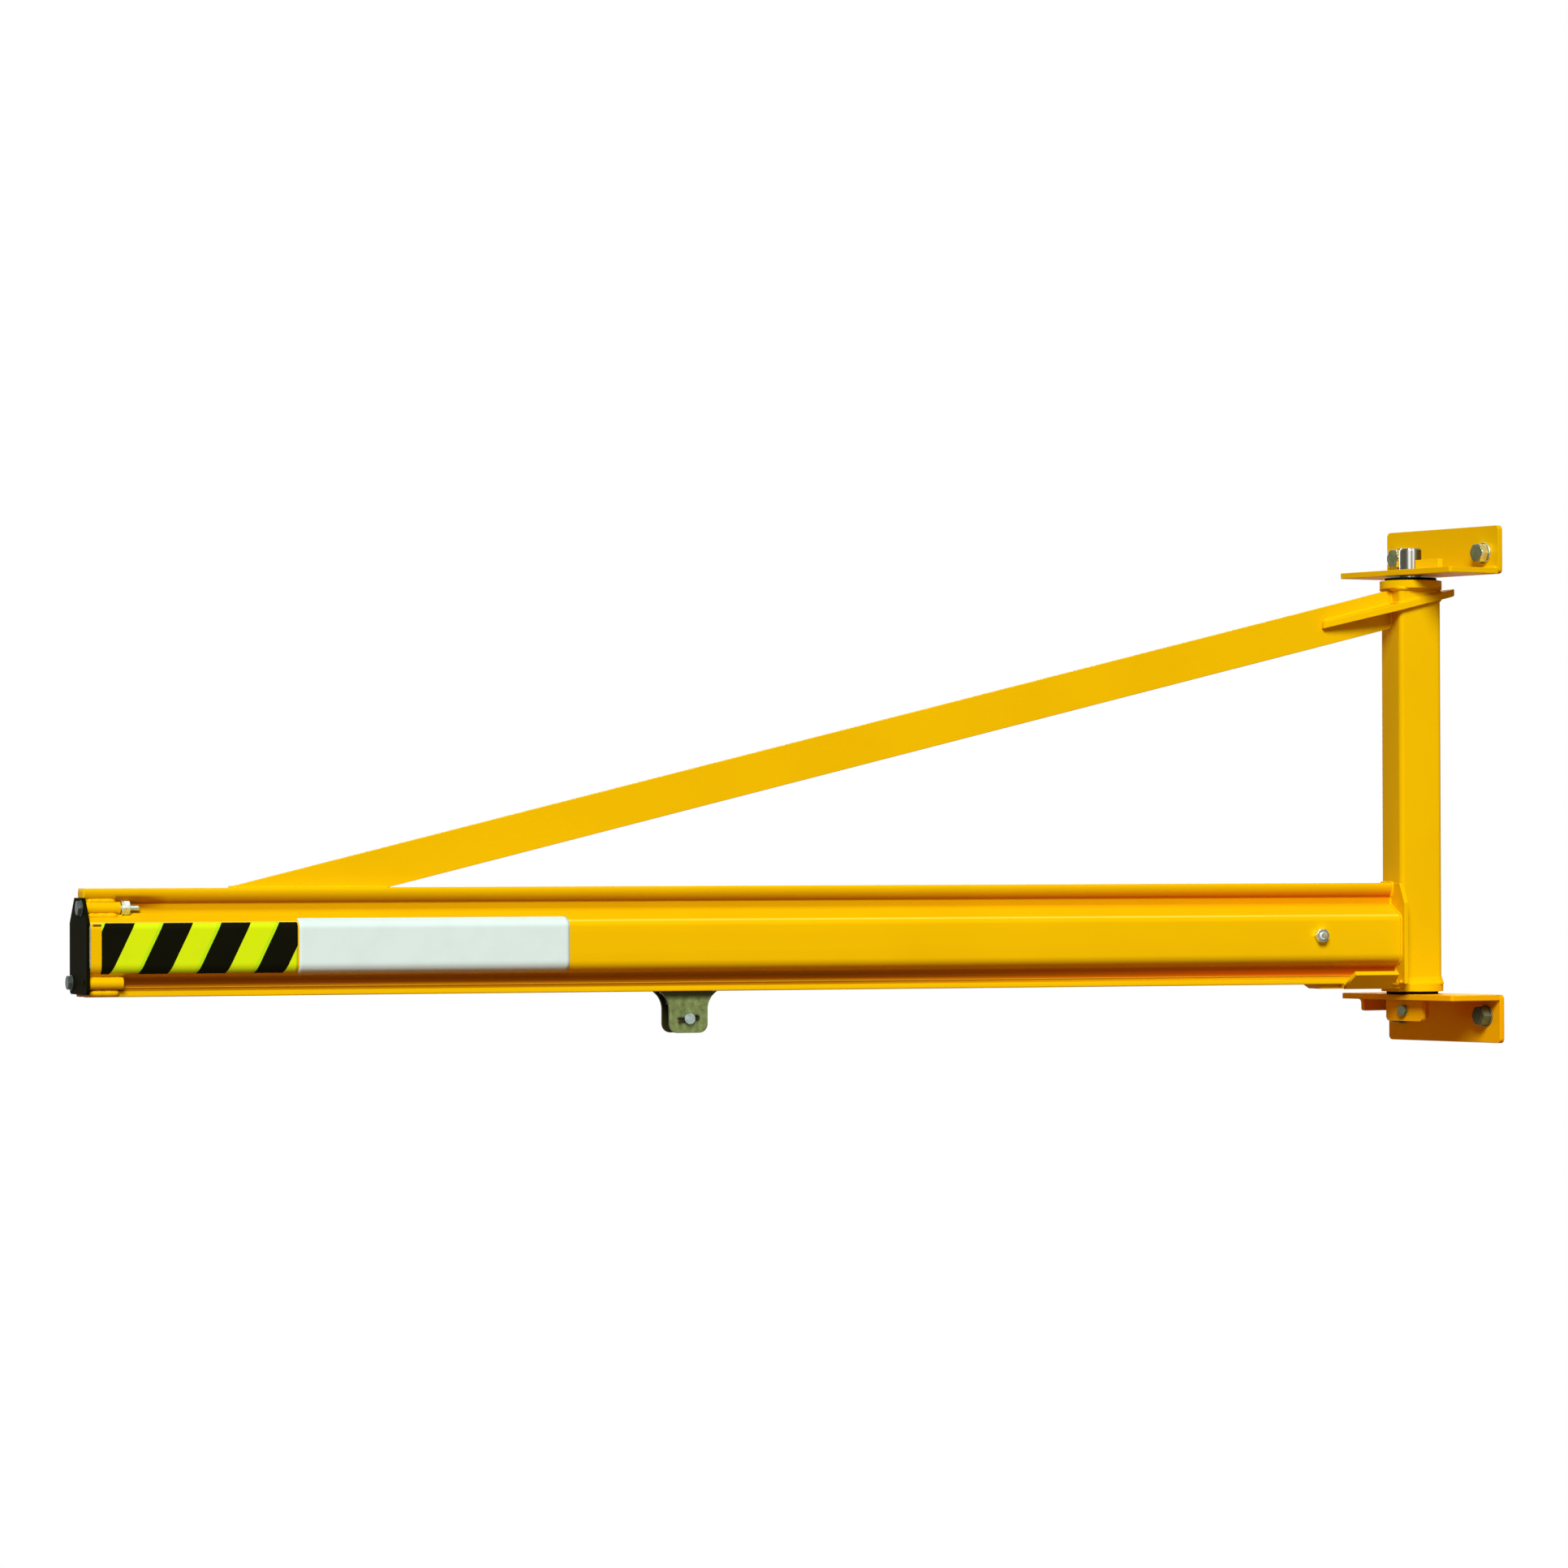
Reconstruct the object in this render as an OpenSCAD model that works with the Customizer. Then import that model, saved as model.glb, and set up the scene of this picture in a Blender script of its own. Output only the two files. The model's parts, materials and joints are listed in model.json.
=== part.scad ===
// Wall-mounted jib crane: an over-braced arm of hollow rolled track that slews
// on a post between two wall brackets, with a trolley running inside the track.
// Frame: the wall is the plane Y = 0, the room is on the -Y side, +Z is up and
// the origin is the centre of the lower wall plate's back face.

/* [Wall brackets] */
// Length of each wall plate along the wall
bracket_w = 303; // [280:1:400]
// Height of each wall plate
wall_plate_h = 84; // [76:1:120]
// Thickness of the wall plates
wall_plate_t = 10; // [8:0.5:16]
// Corner radius of the wall plates
wall_plate_r = 8; // [3:0.5:14]
// How far the bearing plates reach out from the wall
bearing_plate_reach = 118; // [112:1:150]
// Thickness of the bearing plates
bearing_plate_t = 10; // [8:0.5:16]
// Corner radius of the bearing plates
bearing_plate_r = 6; // [2:0.5:14]
// Clear height between the two bearing plates
bracket_gap = 730; // [660:5:1000]
// Distance of the wall bolts from the ends of the wall plates
wall_bolt_inset = 37.5; // [36:0.5:60]
// Height of the wall bolts over the plate edge that carries the bearing plate
wall_bolt_rise = 37; // [36:0.5:46]
// Thread diameter of the wall bolts
wall_bolt_d = 20; // [16:1:22]
// Diameter of the bolt holes in the wall plates
wall_hole_d = 24; // [23:0.5:26]
// Height of the wall bolts' heads
wall_bolt_head_h = 16; // [12:0.5:18]
// How far the wall bolts reach behind the wall face
wall_bolt_reach = 15; // [10:1:60]

/* [Pivot] */
// Distance of the slewing axis from the wall face
pivot_out = 81; // [78:1:90]
// Diameter of the pivot pins
pin_d = 38; // [30:1:42]
// Radial running clearance of the pins in the bearing discs
pin_clearance = 0.05; // [0.02:0.01:0.1]
// Diameter of the bearing discs on the post ends
disc_d = 108; // [100:1:116]
// Thickness of the bearing discs
disc_t = 14; // [10:0.5:20]
// Thickness of the thrust washers
washer_t = 5; // [3:0.5:6]
// Outer diameter of the thrust washers
washer_d = 90; // [56:1:96]
// Free play over the upper thrust washer
upper_play = 4; // [3:0.5:6]
// Length of the upper pin above its bearing plate
upper_pin_rise = 38; // [24:1:50]
// Depth of the pins inside the post
pin_depth = 30; // [20:1:60]
// Angle of the arm at rest, from square to the wall
rest_swing = 13.5; // [0:0.5:60]

/* [Pin keepers] */
// Length of the keeper tab beside the upper pin
keeper_l = 62; // [30:1:80]
// Height of the keeper tab
keeper_h = 17; // [8:0.5:24]
// Thickness of the keeper tab
keeper_t = 10; // [6:0.5:14]
// Thickness of the flat tongue under the lower pin
tongue_t = 22; // [16:0.5:26]
// Width of the front lug under the lower bearing plate
lug_w = 98; // [70:1:130]
// Height of the lugs
lug_h = 37; // [34:0.5:44]
// Thickness of the lugs
lug_t = 8; // [6:0.5:12]
// Corner radius of the lugs
lug_r = 8; // [3:0.5:12]
// Width of the rear lug
rear_lug_w = 44; // [34:1:60]
// Diameter of the bolt through lugs and tongue
lug_bolt_d = 12; // [8:1:14]
// Height of the stiffening rib under the lower bearing plate
rib_h = 22; // [14:0.5:34]
// Thickness of the stiffening rib
rib_t = 8; // [5:0.5:12]
// Distance of the rib from the end of the bearing plate
rib_inset = 4; // [0:1:12]
// Length of the rib along its lower edge
rib_l = 66; // [40:1:90]
// How much longer the rib is along its upper edge
rib_toe = 9; // [4:1:16]

/* [Post] */
// Side of the square post
post_w = 80; // [70:1:84]
// Wall of the square post
post_wall = 6; // [4:0.5:8]
// Outer corner radius of the post
post_r = 9; // [4:0.5:12]

/* [Track] */
// Length of the arm from the slewing axis to the end of the track
arm_l = 2373; // [1600:10:3000]
// Height of the track section
track_h = 175; // [170:1:190]
// Width of the track section over its flat sides
track_w = 116; // [112:1:124]
// Wall of the track section
track_wall = 5; // [4:0.5:6]
// Width of the head rail on top of the track
head_w = 46; // [40:1:52]
// Depth of the head rail
head_h = 22; // [18:0.5:26]
// Depth of the upright part of the head rail's sides
head_flat = 7; // [5:0.5:10]
// Radius of the rounded lower part of the head rail's sides
head_side_r = 24; // [20:1:40]
// Width of the neck under the head rail
neck_w = 28; // [22:1:32]
// Height of the neck under the head
neck_h = 15; // [10:0.5:20]
// Fall of the shoulders from the neck to the flat sides
shoulder_drop = 21; // [12:0.5:30]
// Level where the flat sides turn inwards
flank_z = 43; // [40:0.5:50]
// Level where the flanks meet the lower webs
web_z = 29; // [26:0.5:34]
// Outer radius of the track's upper bends
bend_r = 13; // [9:0.5:15]
// Outer radius of the track's lower bends
flank_r = 18; // [12:0.5:20]
// Width over the bottom lips
lip_w = 72; // [68:1:76]
// Thickness of the running flanges
flange_t = 10; // [8:0.5:12]
// Width of the slot in the track's bottom
slot_w = 24; // [23:0.5:26]

/* [Tie bar] */
// Gap between the tie bar's top corner and the post's top end
tie_top_gap = 2; // [1:0.5:60]
// Slope of the tie bar, in millimetres per metre
tie_slope = 244; // [200:1:380]
// Depth of the tie bar
tie_depth = 65; // [50:1:80]
// Thickness of the tie bar
tie_t = 12; // [8:0.5:16]
// Height of the blunt nose at the tie bar's lower end
tie_nose = 2; // [1:0.5:10]
// Thickness of the collar plate round the post
collar_t = 12; // [8:0.5:16]
// Width of the collar plate
collar_w = 98; // [92:1:104]
// Reach of the collar plate behind the slewing axis
collar_back = 68; // [60:1:70]
// Height of the collar plate over the tie bar's centre line
collar_rise = 3; // [0:0.5:6]
// Reach of the collar's prongs along the tie bar
collar_front = 174; // [120:1:260]
// Width of the collar over its prong ends
collar_tip_w = 34; // [26:1:60]

/* [Root fittings] */
// Thickness of the plate between track and post
end_plate_t = 8; // [6:0.5:12]
// Width of the plate between track and post
end_plate_w = 138; // [126:1:144]
// Width of that plate's top edge
end_plate_top_w = 98; // [70:1:110]
// Height of its chamfered corners
end_plate_chamfer = 34; // [20:1:60]
// Thickness of the saddle under the track's root
saddle_t = 8; // [5:0.5:9]
// Length of the saddle from the slewing axis
saddle_l = 199; // [150:1:300]
// Width of the saddle's flat floor between the wings
saddle_w = 80; // [78:1:90]
// Width of the tongue in which the floor ends
saddle_tongue_w = 50; // [30:1:66]
// Width that each wing of the saddle adds
wing_w = 30; // [20:0.5:32]
// Distance of the wings' outer end from the slewing axis, along the arm
wing_end_u = 150; // [120:1:180]
// How far each wing narrows towards its outer edge at that end
wing_taper = 9; // [4:1:20]
// How far each wing narrows at the end beside the post
wing_root_taper = 2; // [1:1:20]
// Gap between the lower disc and the wings
wing_gap = 3; // [2:0.5:12]
// Rise of each wing
wing_rise = 24; // [10:0.5:30]
// Distance of the root stop bolt from the slewing axis
stop_u = 203; // [190:1:400]
// Height of the root stop bolt over the track's bottom
stop_z = 85; // [78:0.5:96]
// Thread diameter of the root stop bolt
stop_bolt_d = 14; // [10:1:16]
// Length of the rubber stops inside the track
buffer_l = 40; // [24:1:60]
// Width of the rubber stops
buffer_w = 40; // [30:1:46]

/* [Tip fittings] */
// Thickness of the end cap
cap_t = 6; // [4:0.5:10]
// How far the end cap's top edge lies below the track's top
cap_top_gap = 15; // [10:0.5:20]
// Level of the end cap's bottom edge
cap_bottom_z = 4; // [2:0.5:6]
// Width of the end cap's top edge
cap_top_w = 52; // [40:1:70]
// Height of the end cap's sloping shoulders
cap_shoulder_h = 41; // [30:1:60]
// Corner radius at the end cap's bottom
cap_r = 10; // [4:0.5:14]
// Length of the bolt sleeves
sleeve_l = 57; // [30:1:90]
// Outer diameter of the bolt sleeves
sleeve_d = 20; // [18:0.5:20]
// Thread diameter of the end cap's bolts
cap_bolt_d = 10; // [8:0.5:12]
// Length of the cap bolts' threads beyond their nuts
cap_bolt_tail = 13; // [4:1:20]
// Radial clearance of the end cap's bolts in their sleeves
cap_bolt_clearance = 0.5; // [0.3:0.1:1]
// How far the sleeves sink into their weld seats on the track
sleeve_seat = 0.5; // [0.2:0.1:1]
// Level of the lower sleeves over the track's bottom
lower_sleeve_z = 22.5; // [21:0.5:23]

/* [Trolley] */
// Place of the trolley at rest, from the slewing axis
trolley_u = 1345; // [400:5:2200]
// Diameter of the trolley wheels
wheel_d = 44; // [36:1:50]
// Width of the trolley wheels
wheel_w = 10; // [7:0.5:10]
// Distance between the wheel axles
wheel_base = 66; // [54:1:90]
// Gap between wheel and running flange
wheel_gap = 0.3; // [0.2:0.1:0.5]
// Diameter of the wheel axles
axle_d = 12; // [8:0.5:16]
// Thickness of the trolley plate in the slot
carriage_t = 12; // [8:0.5:13]
// Width between the clevis plates
clevis_gap = 30; // [22:0.5:40]
// Thickness of the clevis plates
clevis_t = 6; // [4:0.5:10]
// Gap between the clevis and the track's bottom
clevis_clearance = 5; // [5:0.5:10]
// Width of the clevis plates at the top
clevis_top_w = 90; // [74:1:92]
// Width of the clevis plates at the load pin
clevis_w = 68; // [56:1:80]
// Height of the hollow flare at the clevis plates' top
clevis_flare_h = 26; // [14:1:34]
// Radius of the clevis plates' lower corners
clevis_corner_r = 15; // [8:1:24]
// Level of the clevis plates' lower edge under the track
clevis_drop = 70; // [62:1:90]
// Level of the load pin under the track
load_pin_drop = 46; // [42:1:54]
// Diameter of the load pin
load_pin_d = 18; // [12:0.5:20]
// Length of the load pin beyond each clevis plate
load_pin_over = 8; // [5:0.5:14]

/* [Hidden] */
$fn = 48;

paint = [0.94, 0.74, 0.05];
zinc = [0.60, 0.62, 0.55];
steel = [0.78, 0.78, 0.76];
black = [0.06, 0.06, 0.06];

wall_bolt_pitch = bracket_w - 2 * wall_bolt_inset;

// Levels of the brackets, from the origin at the lower wall plate's centre
lower_face_z = wall_plate_h / 2;
upper_face_z = lower_face_z + bracket_gap;

// Levels of the arm
lower_disc_z = lower_face_z + washer_t;
track_z = lower_disc_z + disc_t;
upper_disc_z = upper_face_z - upper_play - washer_t - disc_t;
post_h = upper_disc_z - track_z;

// The track's section, right half from the slot round the outside to the head
side_y = track_w / 2;
lip_y = lip_w / 2;
web_y = lip_y - 2;
lip_groove = 3;
lip_groove_y = web_y - 1.5;
head_edge_r = 3;
shoulder_foot_y = neck_w / 2;
neck_top_z = track_h - head_h - lip_groove;
neck_foot_z = track_h - head_h - neck_h;
shoulder_z = neck_foot_z - shoulder_drop;
track_root_u = post_w / 2 + end_plate_t;

// The tie bar
tie_k = tie_slope / 1000;
tie_rise = post_h - tie_top_gap + tie_k * post_w / 2;
tie_angle = atan(tie_k);
tie_height = tie_depth / cos(tie_angle);

// Bolt heads and nuts: width over flats and height, from the thread diameter
function over_flats(d) = 1.5 * d + 1;
function head_height(d) = 0.63 * d;
function nut_height(d) = 0.8 * d;
function washer_over(d) = 1.7 * d + 3;
bolt_washer_t = 3;
nut_overrun = 4;

// Arc of radius r round c, from angle a to angle b, in n steps
function arc(c, r, a, b, n = 8) =
    [for (i = [0 : n]) let (t = a + (b - a) * i / n) [c[0] + r * cos(t), c[1] + r * sin(t)]];
function mirrored(path) = [for (i = [len(path) - 1 : -1 : 0]) [-path[i][0], path[i][1]]];
function angle_of(p, q) = atan2(q[1] - p[1], q[0] - p[0]);

// Bend of radius r between two directions, where its two tangent lines meet at corner p
function bend(p, a_in, a_out, r, n = 8) =
    let (turn = a_out - a_in, side = turn > 0 ? 1 : -1, back = r * tan(abs(turn) / 2))
    let (start = [p[0] - back * cos(a_in), p[1] - back * sin(a_in)])
    let (c = [start[0] - side * r * sin(a_in), start[1] + side * r * cos(a_in)])
    arc(c, r, a_in - side * 90, a_out - side * 90, n);

// ---- frames ----

// The arm's frame: X out along the arm from the slewing axis, Z from the wall frame
module arm_frame() {
    translate([0, -pivot_out, 0])
        rotate([0, 0, -90 - rest_swing])
            children();
}

// The trolley's frame: the arm's frame at the trolley's middle and the track's bottom
module trolley_frame() {
    arm_frame()
        translate([trolley_u, 0, track_z])
            children();
}

// A flat outline in Y and Z, given its thickness along X
module plate_across(t) {
    rotate([90, 0, 90])
        linear_extrude(t)
            children();
}

// A flat outline in X and Z, given its thickness along -Y from the plane Y = 0
module plate_along(t) {
    rotate([90, 0, 0])
        linear_extrude(t)
            children();
}

module rounded_rect(w, h, r) {
    square([w - 2 * r, h], center = true);
    square([w, h - 2 * r], center = true);
    for (x = [-1, 1], y = [-1, 1])
        translate([x * (w / 2 - r), y * (h / 2 - r)])
            circle(r);
}

// Hexagon bolt whose head stands on Z = 0 and whose shank goes down by l
module hex_bolt(d, l, washer = 0, head = 0) {
    if (washer > 0)
        cylinder(d = washer_over(d), h = washer);
    translate([0, 0, washer])
        cylinder(d = over_flats(d) / cos(30), h = head > 0 ? head : head_height(d), $fn = 6);
    translate([0, 0, -l])
        cylinder(d = d, h = l + washer);
}

// ---- wall brackets ----

module wall_plate() {
    difference() {
        plate_along(wall_plate_t)
            rounded_rect(bracket_w, wall_plate_h, wall_plate_r);
        for (x = [-1, 1])
            translate([x * wall_bolt_pitch / 2, 1, wall_bolt_rise - wall_plate_h / 2])
                rotate([90, 0, 0])
                    cylinder(d = wall_hole_d, h = wall_plate_t + 2);
    }
}

// Plate that stands out from the wall plate, with the pivot pin's hole, from Z = 0 up
module bearing_plate() {
    depth = bearing_plate_reach - wall_plate_t;
    difference() {
        translate([0, -wall_plate_t - depth / 2, 0])
            linear_extrude(bearing_plate_t)
                union() {
                    rounded_rect(bracket_w, depth, bearing_plate_r);
                    translate([0, depth / 4])
                        square([bracket_w, depth / 2], center = true);
                }
        translate([0, -pivot_out, -1])
            cylinder(d = pin_d, h = bearing_plate_t + 2);
    }
}

module wall_bolt(x, z) {
    color(zinc)
        translate([x * wall_bolt_pitch / 2, -wall_plate_t, z])
            rotate([90, 0, 0])
                hex_bolt(wall_bolt_d, wall_plate_t + wall_bolt_reach, bolt_washer_t, wall_bolt_head_h);
}

lower_bolt_z = lower_face_z - wall_bolt_rise;
upper_bolt_z = upper_face_z + wall_bolt_rise;

module lower_wall_plate() {
    color(paint)
        mirror([0, 0, 1])
            wall_plate();
}

module upper_wall_plate() {
    color(paint)
        translate([0, 0, upper_face_z + wall_plate_h / 2])
            wall_plate();
}

module lower_bearing_plate() {
    color(paint)
        translate([0, 0, lower_face_z - bearing_plate_t])
            bearing_plate();
}

module upper_bearing_plate() {
    color(paint)
        translate([0, 0, upper_face_z])
            bearing_plate();
}

module lower_wall_bolt_left() { wall_bolt(-1, lower_bolt_z); }
module lower_wall_bolt_right() { wall_bolt(1, lower_bolt_z); }
module upper_wall_bolt_left() { wall_bolt(-1, upper_bolt_z); }
module upper_wall_bolt_right() { wall_bolt(1, upper_bolt_z); }

// ---- pins and what keeps them ----

lug_top_z = lower_face_z - bearing_plate_t;
lug_bolt_z = lug_top_z - lug_h / 2;
tongue_h = lug_h - 4;

// Pin with a chamfered top end, standing on Z = 0
module round_pin(d, h, chamfer = 3) {
    cylinder(d = d, h = h - chamfer, $fn = 64);
    translate([0, 0, h - chamfer])
        cylinder(d1 = d, d2 = d - 2 * chamfer, h = chamfer, $fn = 64);
}

module upper_pivot_pin() {
    foot = upper_disc_z - pin_depth;
    color(steel)
        translate([0, -pivot_out, foot])
            round_pin(pin_d, upper_face_z + bearing_plate_t + upper_pin_rise - foot);
}

module upper_keeper_tab() {
    color(paint)
        difference() {
            translate([0, -pivot_out - keeper_t / 2, upper_face_z + bearing_plate_t])
                cube([pin_d / 2 + keeper_l, keeper_t, keeper_h]);
            translate([0, -pivot_out, upper_face_z])
                cylinder(d = pin_d, h = bearing_plate_t + upper_pin_rise, $fn = 64);
        }
}

// Round in the plate and disc, cut to a flat tongue with a cross hole below
module lower_pivot_pin() {
    color(steel)
        translate([0, -pivot_out, lug_top_z])
            difference() {
                union() {
                    round_pin(pin_d, track_z + pin_depth - lug_top_z);
                    intersection() {
                        translate([0, 0, -tongue_h])
                            cylinder(d = pin_d, h = tongue_h, $fn = 64);
                        translate([-pin_d, -tongue_t / 2, -tongue_h])
                            cube([2 * pin_d, tongue_t, tongue_h]);
                    }
                }
                translate([0, pin_d, lug_bolt_z - lug_top_z])
                    rotate([90, 0, 0])
                        cylinder(d = lug_bolt_d, h = 2 * pin_d);
            }
}

// Lug under the bearing plate with two round lower corners; its front face is at y
module lug(w, y) {
    color(paint)
        difference() {
            translate([0, y + lug_t, lug_bolt_z])
                plate_along(lug_t)
                    union() {
                        rounded_rect(w, lug_h, lug_r);
                        translate([0, lug_h / 4])
                            square([w, lug_h / 2], center = true);
                    }
            translate([0, y + lug_t + 1, lug_bolt_z])
                rotate([90, 0, 0])
                    cylinder(d = lug_bolt_d, h = lug_t + 2);
        }
}

module lower_front_lug() { lug(lug_w, -pivot_out - tongue_t / 2 - lug_t); }
module lower_rear_lug() { lug(rear_lug_w, -pivot_out + tongue_t / 2); }

module lug_bolt() {
    grip = tongue_t + 2 * lug_t;
    color(zinc)
        translate([0, -pivot_out - grip / 2, lug_bolt_z])
            rotate([90, 0, 0]) {
                hex_bolt(lug_bolt_d, grip + nut_height(lug_bolt_d) + nut_overrun);
                translate([0, 0, -grip - nut_height(lug_bolt_d)])
                    cylinder(d = over_flats(lug_bolt_d) / cos(30), h = nut_height(lug_bolt_d), $fn = 6);
            }
}

// Rib on edge between the plates' left ends, with a round corner and a hollow toe in front
module lower_rib() {
    corner_r = 5;
    color(paint)
        translate([rib_inset - bracket_w / 2, -wall_plate_t, lug_top_z])
            plate_across(rib_t)
                polygon(concat(
                    [[0, 0], [0, -rib_h]],
                    arc([corner_r - rib_l, corner_r - rib_h], corner_r, 270, 180),
                    arc([-rib_l - rib_toe, -rib_toe], rib_toe, 0, 90)
                ));
}

// ---- post ----

module post_outline(inset = 0) {
    rounded_rect(post_w - 2 * inset, post_w - 2 * inset, post_r - inset);
}

module post() {
    color(paint)
        arm_frame()
            translate([0, 0, track_z])
                linear_extrude(post_h)
                    difference() {
                        post_outline();
                        post_outline(post_wall);
                    }
}

module bearing_disc(z) {
    color(paint)
        arm_frame()
            translate([0, 0, z])
                difference() {
                    cylinder(d = disc_d, h = disc_t, $fn = 96);
                    translate([0, 0, -1])
                        cylinder(d = pin_d + 2 * pin_clearance, h = disc_t + 2, $fn = 64);
                }
}

module lower_disc() { bearing_disc(lower_disc_z); }
module upper_disc() { bearing_disc(upper_disc_z); }

module thrust_washer(z) {
    color(black)
        arm_frame()
            translate([0, 0, z])
                difference() {
                    cylinder(d = washer_d, h = washer_t, $fn = 64);
                    translate([0, 0, -1])
                        cylinder(d = pin_d + 1, h = washer_t + 2, $fn = 64);
                }
}

module lower_thrust_washer() { thrust_washer(lower_face_z); }
module upper_thrust_washer() { thrust_washer(upper_disc_z + disc_t); }

// ---- track ----

shoulder_a = angle_of([shoulder_foot_y, neck_foot_z], [side_y, shoulder_z]) + 180;
flank_a = angle_of([web_y, web_z], [side_y, flank_z]);
head_side_a = asin((head_h - head_flat) / head_side_r);

outer_right = concat(
    [[slot_w / 2, 0]],
    bend([lip_y, 0], 0, 90, 2, 3),
    [[lip_y, flange_t], [lip_groove_y, flange_t + 1], [lip_groove_y, flange_t + 3]],
    [[web_y + 1, flange_t + 5], [web_y, flange_t + 9]],
    bend([web_y, web_z], 90, flank_a, 5, 4),
    bend([side_y, flank_z], flank_a, 90, flank_r),
    bend([side_y, shoulder_z], 90, shoulder_a, bend_r),
    bend([shoulder_foot_y, neck_foot_z], shoulder_a, 90, 4, 4),
    [[shoulder_foot_y, neck_top_z]],
    arc([head_w / 2 - head_side_r, track_h - head_flat], head_side_r, -head_side_a, 0, 6),
    bend([head_w / 2, track_h], 90, 180, head_edge_r, 4)
);

// The hollow keeps one wall thickness inside the outline, square to each face
function miter(a) = track_wall * tan((90 - a) / 2);
shoulder_k = (neck_foot_z - shoulder_z) / (side_y - shoulder_foot_y);
hollow_side_y = side_y - track_wall;
hollow_web_y = web_y - track_wall;
hollow_shoulder_z = shoulder_z + track_wall * shoulder_k - track_wall * sqrt(1 + pow(shoulder_k, 2));
hollow_right = concat(
    [[slot_w / 2, flange_t], [hollow_web_y, flange_t]],
    bend([hollow_web_y, web_z + miter(flank_a)], 90, flank_a, 5 + track_wall, 4),
    bend([hollow_side_y, flank_z + miter(flank_a)], flank_a, 90, flank_r - track_wall),
    bend([hollow_side_y, hollow_shoulder_z], 90, shoulder_a, bend_r - track_wall),
    [[shoulder_foot_y, hollow_shoulder_z + shoulder_k * (hollow_side_y - shoulder_foot_y)]]
);

module track_section() {
    polygon(concat(outer_right, mirrored(outer_right), [for (p = hollow_right) [-p[0], p[1]]],
        [for (i = [len(hollow_right) - 1 : -1 : 0]) hollow_right[i]]));
}

// The hollow in neck and head, which is closed at the tip
module neck_hollow() {
    top_z = track_h - track_wall;
    neck_y = neck_w / 2 - track_wall;
    head_y = head_w / 2 - track_wall;
    head_z = track_h - head_h + track_wall;
    half = [
        [neck_y, neck_foot_z - 2 * track_wall],
        [neck_y, head_z],
        [head_y - track_wall, head_z],
        [head_y, track_h - head_flat],
        [head_y, top_z]
    ];
    polygon(concat(half, mirrored(half)));
}

module track_beam() {
    color(paint)
        arm_frame()
            difference() {
                translate([track_root_u, 0, track_z])
                    plate_across(arm_l - track_root_u)
                        track_section();
                translate([track_root_u - 1, 0, track_z])
                    plate_across(arm_l - track_wall - track_root_u + 1)
                        neck_hollow();
                translate([stop_u, 0, track_z + stop_z])
                    rotate([90, 0, 0])
                        cylinder(d = stop_bolt_d + 1, h = track_w + 2, center = true);
            }
}

// ---- tie bar and collar ----

// Level of the tie bar's top edge at distance u, over the wall frame's origin
function tie_top(u) = track_z + tie_rise - tie_k * u;

tie_root_u = post_w / 2;
tie_seat_z = track_z + track_h;
tie_tip_u = (tie_rise - track_h - tie_nose) / tie_k;
tie_heel_u = (tie_rise - tie_height - track_h) / tie_k;

module tie_bar() {
    color(paint)
        arm_frame()
            translate([0, tie_t / 2, 0])
                plate_along(tie_t)
                    polygon([
                        [tie_root_u, tie_top(tie_root_u) - tie_height],
                        [tie_heel_u, tie_seat_z],
                        [tie_tip_u, tie_seat_z],
                        [tie_tip_u, tie_seat_z + tie_nose],
                        [tie_root_u, tie_top(tie_root_u)]
                    ]);
}

// Plan of the collar, half of it: prongs that widen from the tie bar to the post
collar_corner_r = 20;
collar_half = concat(
    [[collar_front, collar_tip_w / 2 - 4], [collar_front - 4, collar_tip_w / 2]],
    [[post_w / 2 + 6, collar_w / 2]],
    arc([collar_corner_r - collar_back, collar_w / 2 - collar_corner_r], collar_corner_r, 90, 180)
);
collar_other = [for (i = [len(collar_half) - 1 : -1 : 0]) [collar_half[i][0], -collar_half[i][1]]];

// Sloping plate on the tie bar's centre line, cut out for the post and the bar
module collar_plate() {
    mid_z = tie_top(0) - tie_height / 2 + collar_rise;
    color(paint)
        arm_frame()
            difference() {
                translate([0, 0, mid_z])
                    multmatrix([[1, 0, 0, 0], [0, 1, 0, 0], [-tie_k, 0, 1, 0], [0, 0, 0, 1]])
                        translate([0, 0, -collar_t / 2])
                            linear_extrude(collar_t)
                                polygon(concat(collar_half, collar_other));
                translate([0, 0, track_z])
                    linear_extrude(post_h)
                        post_outline();
                translate([0, -tie_t / 2, mid_z - collar_front])
                    cube([collar_front + 1, tie_t, 2 * collar_front]);
            }
}

// ---- root fittings ----

module root_end_plate() {
    color(paint)
        arm_frame()
            translate([post_w / 2, 0, track_z])
                plate_across(end_plate_t)
                    polygon([
                        [-end_plate_w / 2, 0],
                        [end_plate_w / 2, 0],
                        [end_plate_w / 2, track_h - end_plate_chamfer],
                        [end_plate_top_w / 2, track_h],
                        [-end_plate_top_w / 2, track_h],
                        [-end_plate_w / 2, track_h - end_plate_chamfer]
                    ]);
}

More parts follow.
